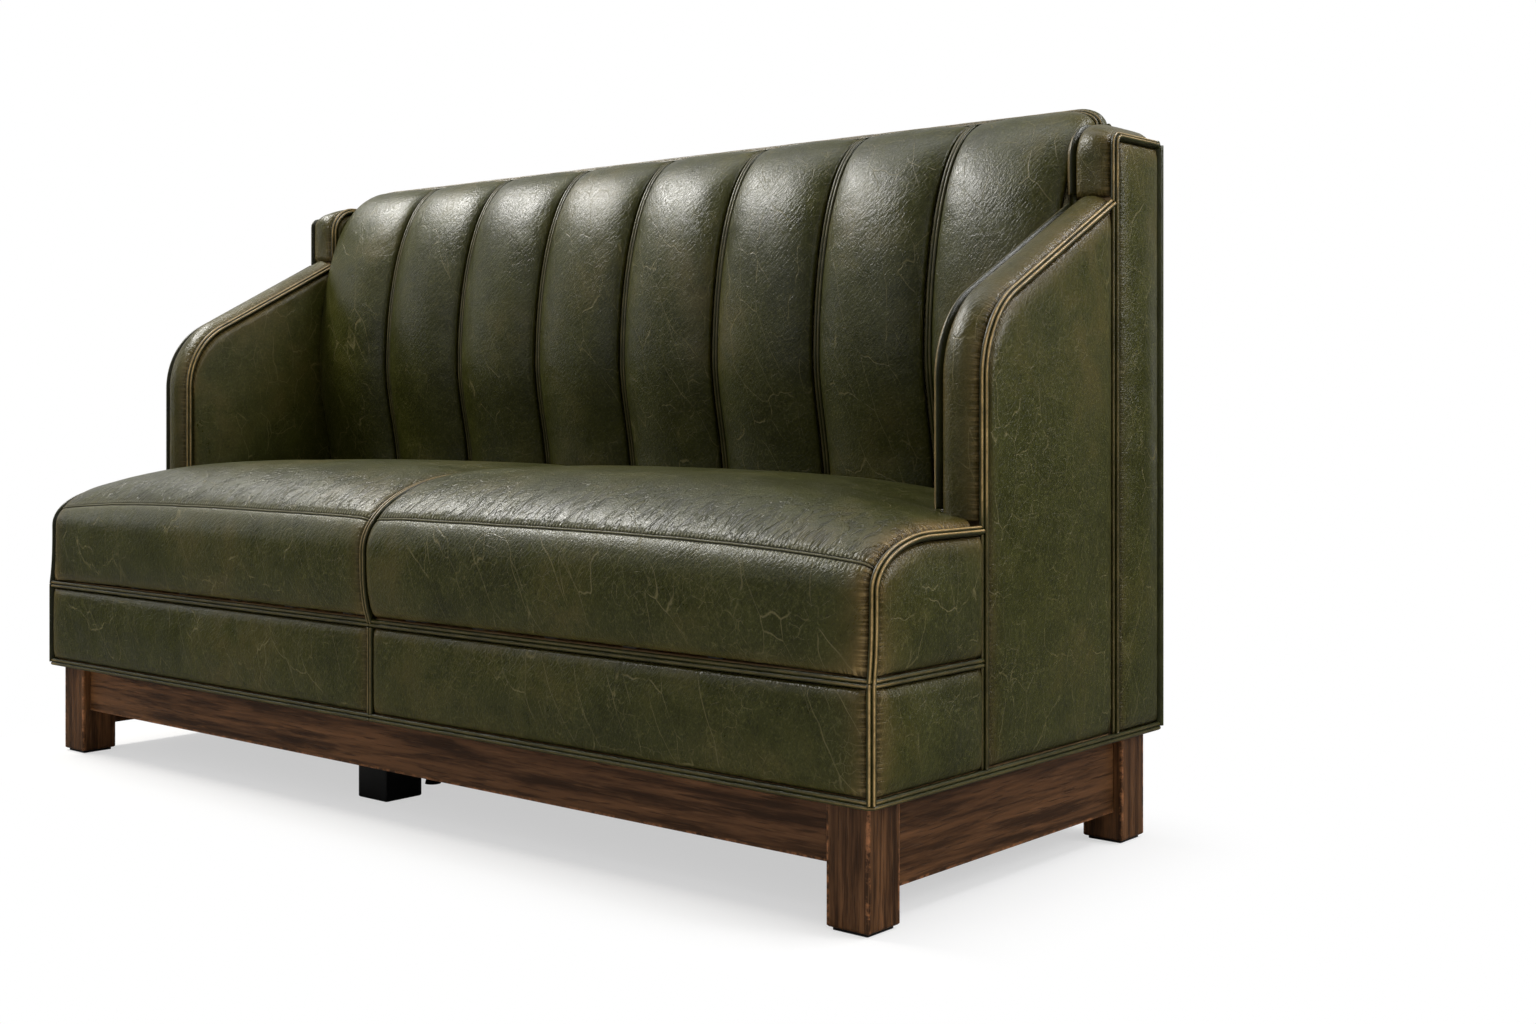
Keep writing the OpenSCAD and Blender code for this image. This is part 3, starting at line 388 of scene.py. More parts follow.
OLIVE_DEEP = (0.0185, 0.0198, 0.0018, 1.0)
OLIVE = (0.0385, 0.0398, 0.0040, 1.0)
OLIVE_PALE = (0.120, 0.115, 0.036, 1.0)
BROWN = (0.064, 0.047, 0.0095, 1.0)
BRONZE = (0.155, 0.092, 0.026, 1.0)
# Partly wear, partly a painted highlight: the gold of rubbed gathers and of the piping's ridges.
GOLD_GLINT = (0.48, 0.33, 0.13, 1.0)
SCAR = (0.130, 0.110, 0.042, 1.0)
# A pale painted highlight on the nose seam's ridge and the gathers beside it.
STITCH_GLINT = (0.30, 0.28, 0.18, 1.0)
# Painted shade, near black: it goes into seams, grooves, creases and the grain's pits.
PAINTED_SHADE = (0.0020, 0.0020, 0.0010, 1.0)
PUCKER_REACH = 0.0052
RIM_REACH = 0.0014
HAZE_REACH = 0.015
STITCH_TICKS = 0.0056
LEATHER_RELIEF = 0.0010
PIPING_RELIEF = 0.0005
WOOD_RELIEF = 0.00035

# How many times a pattern's noise or cells repeat in a metre
BLOTCHES = 4.5
CLOUDS = 21.0
SPECKS = 95.0
GRAINS = 310.0
PEBBLES = 480.0
GATHERS = 215.0
LONG_SCARS, SHORT_SCARS, CRACKLE = 24.0, 46.0, 105.0


def scars(s, where, scale, width, patch_scale, patch):
    """Thin crooked lines that show only in patches: cell borders of coordinates bent by noise."""
    bent = s.node("ShaderNodeTexNoise", {"Vector": where, "Scale": scale * 0.6, "Detail": 3.0})
    crooked = s.node("ShaderNodeVectorMath", {0: s.out(bent, "Color"), "Scale": 0.9 / scale}, operation="SCALE")
    moved = s.vector("ADD", where, s.out(crooked))
    line = s.step(s.cells(moved, scale, "DISTANCE_TO_EDGE"), 0.0, width * scale, (1.0, 0.0))
    broken = s.step(s.noise(where, scale * 2.2, 2.0), 0.38, 0.55)
    return line * broken * s.step(s.noise(where, patch_scale, 2.0), *patch)


def leather():
    """Waxed olive leather: mottled and scarred, bronze where rubbed, gold on the gathers by its seams (partly wear,
    partly a painted highlight), with painted shade in seams, grooves, creases and grain pits.
    """
    s = Shader("leather")
    place = s.place()
    du0, du1, along_v = s.fields("seam_u")
    dv0, dv1, along_u = s.fields("seam_v")
    worn = s.field("worn")
    seam_shade = s.field("seam_shade")
    above = s.field("stitch")
    stitch = s.math("ABSOLUTE", above)

    # Gathers square to each seam, and a thin rim right beside it. Where rubbed they turn gold, which is partly wear and
    # partly a painted highlight on their ridges.
    gathers, rim = 0.0, 0.0
    borders = ((du0, along_v, 0.0), (du1, along_v, 3.7), (dv0, along_u, 7.1), (dv1, along_u, 11.3))
    for distance, along, offset in borders:
        line = s.noise(along + offset, GATHERS, 2.0, 0.6, kind="1D")
        gathers = s.fade(distance, PUCKER_REACH) * s.step(line, 0.44, 0.60) + gathers
        rim = s.fade(distance, RIM_REACH) + rim

    # The seam over the nose: a ridge between two grooves, with short even gathers outside them. The grooves get painted
    # shade, and the ridge and the gathers a pale painted highlight.
    ridge = s.step(stitch, 0.0006, 0.0015, (1.0, 0.0))
    groove = s.step(stitch, 0.0010, 0.0015) * s.step(stitch, 0.0022, 0.0032, (1.0, 0.0))
    sway = s.noise(along_u, 60.0, 1.0, kind="1D") * 2.4
    ticks = s.step(s.math("SINE", along_u * (2 * math.pi / STITCH_TICKS) + sway), -0.1, 0.7)
    short = ticks * s.step(stitch, 0.0024, 0.0034) * s.fade(stitch, 0.0055)

    slow = s.noise(place, BLOTCHES, 3.0, 0.55)
    cloud = s.noise(place, CLOUDS, 4.0, 0.62, 0.4)
    colour = s.mix(s.step(slow * 0.5 + cloud * 0.5, 0.30, 0.72), OLIVE_DEEP, OLIVE)
    colour = s.mix(s.step(slow, 0.50, 0.68) * s.step(cloud, 0.30, 0.65) * 0.55, colour, BROWN)

    # Long scars that run down and aslant, short ones in every direction, and pale specks
    long = scars(s, s.drawn_out((-0.5, 0.1, 1.0), 3.5), LONG_SCARS, 0.0006, 5.0, (0.40, 0.52))
    short_scars = scars(s, place, SHORT_SCARS, 0.0005, 11.0, (0.44, 0.58))
    crackle = scars(s, s.drawn_out((-0.4, 0.3, 0.9), 1.8), CRACKLE, 0.0006, 13.0, (0.38, 0.62))
    scar = s.low(long + short_scars * 0.7 + crackle * 0.30, 1.0)
    specks = s.step(s.noise(place, SPECKS, 5.0, 0.72), 0.52, 0.78)
    colour = s.mix(specks * 0.34, colour, OLIVE_PALE)
    # Pale flecks on the raised grain are a painted highlight, and dark ones in its pits painted shade.
    grain = s.noise(place, GRAINS, 3.0, 0.60, 0.2)
    colour = s.mix(s.step(grain, 0.54, 0.70) * 0.30, colour, OLIVE_PALE)
    colour = s.mix(s.step(grain, 0.30, 0.46, (0.42, 0.0)), colour, PAINTED_SHADE)
    haze = s.step(worn, 0.02, 0.45) * s.step(cloud, 0.25, 0.60, (0.35, 1.0))
    colour = s.mix(haze * 0.50, colour, BROWN)
    colour = s.mix(scar * 0.66, colour, SCAR)

    rubbed = s.low(worn * worn * s.step(cloud, 0.25, 0.70, (0.5, 1.2)), 1.0)
    colour = s.mix(rubbed * 0.60, colour, BRONZE)
    # Gold on the gathers and the rim where rubbed: partly wear, partly a painted highlight.
    edge = s.low(gathers + rim * 0.4, 1.0)
    colour = s.mix(s.low(edge * rubbed, 1.0), colour, GOLD_GLINT)
    # Pale painted highlight on the stitch's ridge and on the short gathers beside it.
    colour = s.mix(s.low(short * 0.95 + ridge * 0.40, 1.0), colour, STITCH_GLINT)
    # Painted shade: near black where the cover rolls down into a seam, and in the two grooves beside the nose's seam.
    colour = s.mix(s.low(seam_shade * 0.85 + groove * 0.90, 1.0), colour, PAINTED_SHADE)

    # Fine creases aslant, over pebble grain and soft wrinkles
    crease = s.step(s.noise(s.drawn_out((0.55, 0.35, 0.75), 4.0), 300.0, 3.0, 0.6, 0.5), 0.38, 0.62)
    pebbles = s.cells(place, PEBBLES) * 0.5 + grain
    wrinkle = s.noise(s.place((1.0, 0.45, 1.0)), 62.0, 3.0, 0.6, 0.8)
    # Over the nose the leather is pulled into close creases that run from front to rear; painted shade darkens it
    # between them.
    nose = s.step(above, 0.002, 0.012) * s.step(above, 0.06, 0.15, (1.0, 0.0))
    hatch = s.step(s.noise(s.drawn_out((0.22, 0.75, 0.62), 5.0), 115.0, 2.0, 0.6, 0.5), 0.40, 0.50) * nose
    # Painted shade between the creases over the nose.
    colour = s.mix((nose - hatch) * 0.40, colour, PAINTED_SHADE)
    pulled = gathers * (worn * 0.9 + 0.12)
    height = pebbles * 0.32 + crease * 0.18 + wrinkle * 0.06 + hatch + pulled * 1.3 + short - scar * 0.2
    rough = 0.27 + s.step(cloud, 0.3, 0.7) * 0.08 + scar * 0.12 - rubbed * 0.05 + crease * 0.05
    return s.finish(colour, rough, height, LEATHER_RELIEF, specular=0.31)


def piping_leather():
    """The same leather over cord: near-black painted shade in its grooves and on its flanks, and rubbed to bronze along
    its ridges, with a gold line on their tops that is partly wear and partly a painted highlight.
    """
    s = Shader("piping_leather")
    place = s.place()
    ridge = s.field("ridge")
    worn = s.field("worn")
    patches = s.noise(place, 30.0, 3.0, 0.6)
    flecks = s.noise(place, 190.0, 3.0, 0.7)
    rub = s.low(worn * s.step(patches, 0.25, 0.7, (0.55, 1.2)), 1.0)
    colour = s.mix(s.step(patches, 0.35, 0.65) * 0.5, OLIVE_DEEP, OLIVE)
    # Bronze along the ridges where rubbed; the gold line on their tops is partly wear and partly a painted highlight.
    colour = s.mix(s.step(ridge, 0.68, 0.96) * rub * s.step(flecks, 0.2, 0.6, (0.65, 1.0)), colour, BRONZE)
    colour = s.mix(s.step(ridge, 0.92, 1.0) * rub * s.step(flecks, 0.30, 0.60, (0.45, 1.0)), colour, GOLD_GLINT)
    # Painted shade, near black, in the groove between the cords and on their flanks.
    colour = s.mix(s.step(ridge, 0.10, 0.60, (0.94, 0.0)), colour, PAINTED_SHADE)
    height = s.noise(place, 520.0, 3.0, 0.6)
    return s.finish(colour, 0.30 + patches * 0.12, height, PIPING_RELIEF, specular=0.4)


def wood(name, grain_scale, dark, mid, light, rough=0.42, edge=None):
    """Straight-grained timber: long pores and bands along the grain, darker slow figure, and rubbed edges if asked."""
    s = Shader(name)
    place = s.place(grain_scale)
    bands = s.noise(place, 75.0, 5.0, 0.70, 0.3)
    fibre = s.noise(place, 230.0, 3.0, 0.7)
    figure = s.noise(s.place(), 4.0, 2.0)
    colour = s.mix(s.step(bands, 0.36, 0.64), dark, mid)
    colour = s.mix(s.step(fibre, 0.52, 0.78) * 0.45, colour, light)
    colour = s.mix(s.step(figure, 0.35, 0.70) * 0.30, colour, dark)
    pores = s.step(s.noise(place, 330.0, 2.0, 0.5), 0.56, 0.68)
    colour = s.mix(pores * 0.75, colour, dark)
    if edge:
        rub = s.field("edge") * s.step(s.noise(s.place(), 90.0, 3.0, 0.7), 0.42, 0.66)
        colour = s.mix(rub, colour, edge)
    height = bands * 0.3 + fibre * 0.3 - pores * 0.8
    return s.finish(colour, bands * 0.10 + (rough - 0.05), height, WOOD_RELIEF, specular=0.2)


def cloth(name, dark, light, threads, coarse):
    """Plain weave: two sets of threads that pass over and under each other, with slubs."""
    s = Shader(name)
    split = s.node("ShaderNodeSeparateXYZ", {0: s.place((threads, threads, threads))})
    across, down = s.out(split, 0), s.out(split, 1)
    warp = s.math("ABSOLUTE", s.math("SINE", across))
    weft = s.math("ABSOLUTE", s.math("SINE", down))
    over = s.step(s.math("SINE", across) * s.math("SINE", down), -0.2, 0.2)
    weave = warp * over + weft * (1 - over)
    slub = s.noise(s.place(), 140.0, 4.0, 0.6)
    colour = s.mix(s.low(weave * 0.6 + slub * 0.5, 1.0), dark, light)
    return s.finish(colour, 0.9, weave + slub * 0.4, coarse)


def foam():
    """Open-cell foam: round pores of a few sizes in a pale yellow body."""
    s = Shader("foam")
    place = s.place()
    pores = s.step(s.cells(place, 420.0), 0.15, 0.55)
    patches = s.noise(place, 12.0, 3.0)
    colour = s.mix(pores, (0.42, 0.33, 0.14, 1.0), (0.78, 0.70, 0.42, 1.0))
    colour = s.mix(s.step(patches, 0.4, 0.7) * 0.3, colour, (0.70, 0.60, 0.33, 1.0))
    return s.finish(colour, 0.92, pores, 0.0012)


def steel():
    """Zinc plate: bright and faintly blotched."""
    s = Shader("steel")
    spangle = s.cells(s.place(), 160.0)
    dust = s.noise(s.place(), 45.0, 4.0, 0.65)
    colour = s.mix(spangle, (0.42, 0.43, 0.44, 1.0), (0.66, 0.67, 0.68, 1.0))
    return s.finish(colour, dust * 0.25 + 0.22, dust, 0.0002, metallic=1.0)


def black_finish(name, rough, scale, depth):
    """A black lacquer, plastic or rubber: near-black, dusty in patches, with a fine texture."""
    s = Shader(name)
    fine = s.noise(s.place(), scale, 4.0, 0.65)
    dust = s.noise(s.place(), 14.0, 3.0)
    colour = s.mix(s.step(dust, 0.45, 0.75) * 0.6, (0.006, 0.006, 0.006, 1.0), (0.022, 0.021, 0.020, 1.0))
    return s.finish(colour, fine * 0.15 + rough, fine, depth)


GRAIN = {"x": (0.055, 1.0, 1.0), "y": (1.0, 0.055, 1.0), "z": (1.0, 1.0, 0.055)}
WALNUT = ((0.030, 0.0125, 0.0040, 1.0), (0.130, 0.0560, 0.0200, 1.0), (0.255, 0.116, 0.045, 1.0))
BEECH = ((0.30, 0.17, 0.075, 1.0), (0.52, 0.34, 0.17, 1.0), (0.62, 0.44, 0.25, 1.0))
PLY = ((0.28, 0.17, 0.08, 1.0), (0.50, 0.35, 0.19, 1.0), (0.62, 0.46, 0.28, 1.0))
RUBBED = (0.27, 0.110, 0.042, 1.0)

LEATHER = leather()
PIPING = piping_leather()
WALNUTS = {axis: wood("walnut_" + axis, GRAIN[axis], *WALNUT, edge=RUBBED) for axis in "xyz"}
BEECHES = {axis: wood("beech_" + axis, GRAIN[axis], *BEECH, rough=0.62) for axis in "xyz"}
PLYWOOD = wood("plywood", GRAIN["z"], *PLY, rough=0.66)
BLACK_LACQUER = black_finish("black_lacquer", 0.30, 120.0, 0.0002)
BLACK_PLASTIC = black_finish("black_plastic", 0.48, 700.0, 0.0003)
BLACK_RUBBER = black_finish("black_rubber", 0.62, 420.0, 0.0005)
STEEL = steel()
CAMBRIC = cloth("cambric", (0.008, 0.008, 0.009, 1.0), (0.045, 0.045, 0.048, 1.0), 3200.0, 0.0004)
HESSIAN = cloth("hessian", (0.16, 0.10, 0.045, 1.0), (0.50, 0.37, 0.20, 1.0), 1400.0, 0.0009)
FOAM = foam()
THREAD = cloth("thread", (0.030, 0.028, 0.012, 1.0), (0.15, 0.13, 0.07, 1.0), 5200.0, 0.0003)


# Curves of the bench, in bench coordinates


def seat_share(x):
    """How much of the cushion's crown stands at a distance x from the middle.

    1 less a fifth power towards the sides, times 1 less a Gaussian at the centre seam."""
    pull = 1 - SEAM_PULL * np.exp(-((x / SEAM_VALLEY) ** 2))
    return (1 - (np.abs(x) / HALF) ** SEAT_DOME) * pull


def rear_share(y):
    """How far a point of the cushion's top lies between the arms' fronts and its rear, from 0 to 1."""
    return np.clip((y - ARM_FRONT) / (SEAT_D - ARM_FRONT), 0, 1)


def cushion_section(share):
    """The y of the face, the z of the top and the depth of the nose where a share of the crown stands."""
    return (mix(SIDE_TUCK, -SEAT_BULGE, share), SIDE_SEAM_H + SEAT_CROWN * share,
            mix(NOSE_SIDE_D, NOSE_MID_D, share))


def cushion_nose(share, inset, count):
    """The nose as [y, z] points, drawn in by an inset: a quarter of an ellipse."""
    y0, z_top, reach = cushion_section(share)
    z_nose, turn = SEAM_H + NOSE_H, np.linspace(0, math.pi / 2, count)
    return arc(y0 + reach, z_nose, inset - reach, z_top - inset - z_nose, turn)


def cushion_point(x, part, t):
    """A point of the cushion's section at x.

    Part 0 is its face and leans out by a cubic. Parts 1 and 2 are the nose below and above the stitching, a quarter of
    an ellipse. Part 3 is the top, which dips by a fourth power at its rear."""
    s = seat_share(x)
    y0, z_top, reach = cushion_section(s)
    z_nose, z_low = SEAM_H + NOSE_H, SEAM_H + WELT_CLEAR
    stitch = mix(STITCH_SIDE, STITCH_MID, s)
    turn = np.where(part == 1, stitch * t, mix(stitch, math.pi / 2, t))
    y = y0 + reach * (1 - np.cos(turn))
    z = z_nose + (z_top - z_nose) * np.sin(turn)
    face_y = mix(0, y0, 1 - (1 - t) ** 3)
    top_y = mix(y0 + reach, SEAT_D, t)
    y = np.where(part == 0, face_y, np.where(part == 3, top_y, y))
    top_z = z_top - REAR_DIP * rear_share(top_y) ** 4
    z = np.where(part == 0, mix(z_low, z_nose, t), np.where(part == 3, top_z, z))
    return xyz(x, y, z)


def arm_path(inset, z0, y1, count=60):
    """An arm's outline as [y, z] points: up its front, round the bend and along its slope."""
    turn = np.linspace(math.pi, math.pi / 2 + ARM_SLOPE, count)
    bend = arc(ARM_BEND_Y, ARM_BEND_Z, ARM_BEND_R - inset, ARM_BEND_R - inset, turn)
    top = ARM_REAR_H - (END_FRONT - y1) * math.tan(ARM_SLOPE) - inset / math.cos(ARM_SLOPE)
    return np.concatenate([[[ARM_FRONT + inset, z0]], bend, [[y1, top]]])


def end_path(inset, z0, top, radius, count=24):
    """An end's outline as [y, z] points: up its front, round a corner and back over its top."""
    turn = np.linspace(math.pi, math.pi / 2, count)
    corner = arc(END_FRONT + radius, top - radius, radius - inset, radius - inset, turn)
    return np.concatenate([[[END_FRONT + inset, z0]], corner, [[DEPTH - EDGE_IN, top - inset]]])


def back_line(v):
    """The line of the back's seams as [y, z]: two cubic curves that meet at the lumbar."""
    v = np.asarray(v, float)
    below = [BACK_FOOT, [BACK_FOOT[0], mix(BACK_FOOT[1], LUMBAR[1], 0.35)],
             [LUMBAR[0] - GAP, mix(LUMBAR[1], BACK_FOOT[1], 0.3)], LUMBAR]
    above = [LUMBAR, [LUMBAR[0] + GAP, mix(LUMBAR[1], BACK_H, 0.37)],
             [mix(CREST[0], LUMBAR[0], 0.76), mix(BACK_H, LUMBAR[1], 0.095)], CREST]
    lower, upper = bezier(below, v / LUMBAR_SHARE), bezier(above, (v - LUMBAR_SHARE) / (1 - LUMBAR_SHARE))
    return np.where((v < LUMBAR_SHARE)[..., None], lower, upper)


def back_out(v):
    """Unit direction out of the back's face."""
    along = unit(back_line(np.minimum(v + 0.01, 1)) - back_line(np.maximum(v - 0.01, 0)))
    return np.stack([-along[..., 1], along[..., 0]], axis=-1)


def crest_drop(x):
    """A quarter circle's fall over each shoulder."""
    t = np.clip((np.abs(x) - INNER + SHOULDER_R) / SHOULDER_R, 0, 1)
    return SHOULDER_DROP * (1 - np.sqrt(np.maximum(0, 1 - t**2)))


def back_point(x, v, out):
    line = back_line(v) + back_out(v) * np.asarray(out)[..., None]
    return xyz(x, line[..., 0], line[..., 1] - crest_drop(x) * v**CREST_GRIP)


# Covers: each is a surface of two shares, sewn down along some of its borders

EDGES = ("u0", "u1", "v0", "v1")
FAR = 1.0
CROWN_REACH = 0.45
# This sets how far over a cover's roll the painted shade at its seams reaches.
SEAM_SHADE_END = 1.15


def stitch_relief(d):
    """Height of the leather at a distance d from the seam over the nose.

    The sum of four Gaussians: a wide valley, a groove on each side and a ridge between them."""
    valley = -0.0013 * np.exp(-((d / 0.008) ** 2))
    grooves = -0.0013 * np.exp(-(((np.abs(d) - 0.0020) / 0.0009) ** 2))
    return valley + grooves + 0.0012 * np.exp(-((d / 0.0010) ** 2))


def faces_in(points, normal):
    """Whether a grid's faces would look inwards, against its normals."""
    return np.cross(points[0, 1] - points[0, 0], points[1, 0] - points[0, 0]) @ normal[0, 0] < 0


class Cover:
    """A padded cover of leather. surface(u, v) gives its face, and seams the wear at each border that is sewn."""

    def __init__(self, name, nodes, surface, size, seams, out, swell=0.0025, crown=0.002, drop=0.0085, roll=0.011,
                 thick=PAD, steps=(0.0028, 0.0075), rows=None, stitch_row=None, fill=0.85):
        self.name, self.nodes, self.surface, self.seams, self.out = name, nodes, surface, seams, np.array(out, float)
        self.swell, self.crown, self.drop, self.roll, self.thick, self.fill = swell, crown, drop, roll, thick, fill
        self.size, self.stitch_row = size, stitch_row
        self.u = spaced(size[0], *steps)
        self.v = spaced(size[1], *steps) if rows is None else rows
        self.coarse_u, self.coarse_v = (np.linspace(0, 1, max(5, round(length / COARSE_STEP))) for length in size)
        self.move = None

    def face(self, u, v):
        return self.surface(u[None, :], v[:, None])

    def normals(self, points):
        """Cross product of the grid's two directions, turned to the cover's outer side."""
        normal = unit(np.cross(np.gradient(points, axis=1), np.gradient(points, axis=0)))
        return normal if (normal * self.out).sum(-1).mean() > 0 else -normal

    def distances(self, points):
        """Distance of each point from each border along the grid's lines."""
        across = np.linalg.norm(np.diff(points, axis=1), axis=-1)
        down = np.linalg.norm(np.diff(points, axis=0), axis=-1)
        u = np.concatenate([np.zeros((len(points), 1)), np.cumsum(across, axis=1)], axis=1)
        v = np.concatenate([np.zeros((1, points.shape[1])), np.cumsum(down, axis=0)], axis=0)
        return {"u0": u, "u1": u[:, -1:] - u, "v0": v, "v1": v[-1:] - v}

    def make(self):
        base = self.face(self.u, self.v)
        normal = self.normals(base)
        far = self.distances(base)
        sewn = [e for e in EDGES if e in self.seams]
        roll, dome = 1.0, 1.0
        for edge in sewn:
            roll = roll * np.sqrt(1 - (1 - np.clip(far[edge] / self.roll, 0, 1)) ** 2)
            dome = dome * smooth(far[edge] / (CROWN_REACH * self.size[edge[0] == "v"]))
        lift = self.crown * dome - self.drop * (1 - roll)
        stitch = np.full(roll.shape, FAR)
        if self.stitch_row is not None:
            stitch = far["v0"] - far["v0"][self.stitch_row]
            lift = lift + stitch_relief(stitch)
        outer = base + normal * lift[..., None]
        if self.move is not None:
            spread_v = spline_weights(len(self.coarse_v), self.v)
            spread_u = spline_weights(len(self.coarse_u), self.u)
            outer = outer + np.einsum("ri,cj,ijk->rck", spread_v, spread_u, self.move)
        self.outer, self.normal = outer, normal
        inner = base - normal * self.thick
        points, faces = closed_shell(outer, inner)
        near = {e: far[e] if e in sewn else np.full(roll.shape, FAR) for e in EDGES}
        worn = sum(self.seams[e] * np.exp(-far[e] / HAZE_REACH) for e in sewn)
        # The seam shade field is painted shade: 1 where the cover rolls down into a seam, falling to 0 over the roll.
        fields = {
            "seam_u": np.stack([near["u0"], near["u1"], far["v0"]], axis=-1),
            "seam_v": np.stack([near["v0"], near["v1"], far["u0"]], axis=-1),
            "worn": np.clip(worn, 0, 1),
            "seam_shade": 1 - smooth(roll * SEAM_SHADE_END),
            "stitch": stitch,
        }
        doubled = {k: np.concatenate([f.reshape(roll.size, -1)] * 2).squeeze() for k, f in fields.items()}
        faces = faces[:, ::-1] if faces_in(base, normal) else faces
        piece = new_piece(self.name, to_row(points), faces, LEATHER, doubled)
        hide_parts(*self.nodes)
        return piece


# The simulation: every cover at once as an open sheet, cut a little large, pinned at its borders and pressed outwards.
# FAR_MOVED is the percentile of a sheet's moves that counts as its swell.
CLOTH_FRAMES = 14
COARSE_STEP = 0.011
FIRST_JITTER = 0.0003
FAR_MOVED = 97
CLOTH = {
    "quality": 6, "mass": 0.25, "tension_stiffness": 22, "compression_stiffness": 22, "shear_stiffness": 8,
    "bending_stiffness": 0.4, "vertex_group_mass": "pins", "shrink_min": -0.016, "use_pressure": True,
    "uniform_pressure_force": 3.0,
}


def settle(covers):
    """Runs the cloth of all the covers together and keeps how far each point moved, scaled to the cover's swell."""
    sheets = []
    for number, cover in enumerate(covers):
        base = cover.face(cover.coarse_u, cover.coarse_v)
        normal = cover.normals(base)
        rows, cols = base.shape[:2]
        border = np.ones((rows, cols), bool)
        border[1:-1, 1:-1] = False
        shaken = np.random.default_rng(100 + number).normal(0, FIRST_JITTER, (rows, cols, 1)) * ~border[..., None]
        mesh = bpy.data.meshes.new("sheet")
        quads = grid_quads(rows, cols, 0, faces_in(base, normal))
        mesh.from_pydata((base + normal * shaken).reshape(-1, 3).tolist(), [], quads.tolist())
        sheet = new_object("sheet", mesh)
        sheet.vertex_groups.new(name="pins").add(np.flatnonzero(border.ravel()).tolist(), 1.0, "REPLACE")
        work = sheet.modifiers.new("cloth", "CLOTH").settings
        for key, value in CLOTH.items():
            setattr(work, key, value)
        work.effector_weights.gravity = 0
        sheets.append((cover, sheet, base))
    for step in range(1, CLOTH_FRAMES + 1):
        bpy.context.scene.frame_set(step)
    graph = bpy.context.evaluated_depsgraph_get()
    for cover, sheet, base in sheets:
        settled = np.zeros(base.size, np.float32)
        sheet.evaluated_get(graph).data.vertices.foreach_get("co", settled)
        move = settled.reshape(base.shape) - base
        reach = np.percentile(np.linalg.norm(move, axis=-1), FAR_MOVED)
        cover.move = move * (cover.swell / max(reach, 1e-6))  # so a sheet that stays still divides by no zero
        bpy.data.objects.remove(sheet)
    bpy.context.scene.frame_set(1)


# What the covers are


def side_panel(side, low_line, high_line, x):
    """A flat panel in a plane of constant x between two lines of [y, z] points."""

    def surface(u, v):
        a, b = resampled(low_line, u.ravel()), resampled(high_line, u.ravel())
        yz = mix(a[None], b[None], np.asarray(v)[..., None])
        return np.concatenate([np.full(yz.shape[:2] + (1,), side * x), yz], axis=-1)

    return surface


def strip_panel(side, outer_line, inner_line):
    """A strip over a bent edge: v runs along it, u across it from its inner to its outer seam."""
    x_outer, x_inner = HALF - EDGE_IN - GAP, HALF - ARM_T + EDGE_IN

    def surface(u, v):
        a, b = resampled(inner_line, v.ravel()), resampled(outer_line, v.ravel())
        yz = mix(a[:, None], b[:, None], np.asarray(u)[..., None])
        x = np.broadcast_to(side * mix(x_inner, x_outer, u), yz.shape[:2])
        return np.concatenate([x[..., None], yz], axis=-1)

    return surface


def level(y0, y1, z):
    """A level line as [y, z]."""
    return np.array([[y0, z], [y1, z]], float)


FACE_ROWS = np.concatenate([np.arange(0, 0.021, 0.003), np.linspace(0.021, 0.091, 11)[1:]]) / 0.091
STITCH_OFFSETS = np.array([0.009, 0.006, 0.004, 0.0028, 0.002, 0.0013, 0.0007])
LOWER_NOSE_LEN, UPPER_NOSE_LEN = 0.055, 0.155
CUSHION_PARTS = np.concatenate([
    FACE_ROWS,
    1 + np.concatenate([np.linspace(0, 1 - 0.012 / LOWER_NOSE_LEN, 8)[1:], 1 - STITCH_OFFSETS / LOWER_NOSE_LEN, [1]]),
    2 + np.concatenate([STITCH_OFFSETS[::-1] / UPPER_NOSE_LEN, np.linspace(0.012 / UPPER_NOSE_LEN, 1, 26)]),
    3 + np.concatenate([np.linspace(0, 0.95, 40)[1:], [0.965, 0.98, 1]]),
])
CUSHION_ROWS = np.linspace(0, 1, len(CUSHION_PARTS))
STITCH_ROW = int(np.argmin(np.abs(CUSHION_PARTS - 2)))
THREAD_ROWS = 4
TUCK_START, TUCK_LEN = 0.002, 0.012


def parts_at(v):
    """The part of the cushion's section at a share of its rows, and the share within that part."""
    at = np.interp(v, CUSHION_ROWS, CUSHION_PARTS)
    part = np.clip(np.ceil(at) - 1, 0, 3)
    return part, at - part


def cushion(side):
    """One half of the seat: u runs from the centre seam outwards, v up the face, over the nose and back.

    v is a share of the list of parts, and each part has its own formula in cushion_point()."""
    x0, x1 = WELT_CLEAR, HALF - EDGE_IN

    def surface(u, v):
        wide = mix(x0, x1, u)
        points = cushion_point(wide, *parts_at(v))
        # Behind the arms the cushion stops at their inner faces
        narrow = mix(x0, INNER, u)
        tuck = smooth((points[..., 1] - ARM_FRONT + TUCK_START) / TUCK_LEN)
        x = mix(np.broadcast_to(wide, tuck.shape), np.broadcast_to(narrow, tuck.shape), tuck)
        points[..., 0] = side * x
        return points

    return surface


def channel(index):
    """One channel of the back: a superellipse across, along the back's line. It flattens towards the crest seam."""
    x0 = index * CHANNEL_PITCH - INNER + (WELT_CLEAR if index else -CHANNEL_OVER)
    x1 = (index + 1) * CHANNEL_PITCH - INNER - (WELT_CLEAR if index < 7 else -CHANNEL_OVER)

    def surface(u, v):
        dome = (1 - np.abs(2 * u - 1) ** CHANNEL_POWER) ** (1 / CHANNEL_POWER)
        out = mix(-RIM, CHANNEL_SWELL * (1 - v**CREST_GRIP), dome)
        return back_point(mix(x0, x1, u), v, out)

    return surface


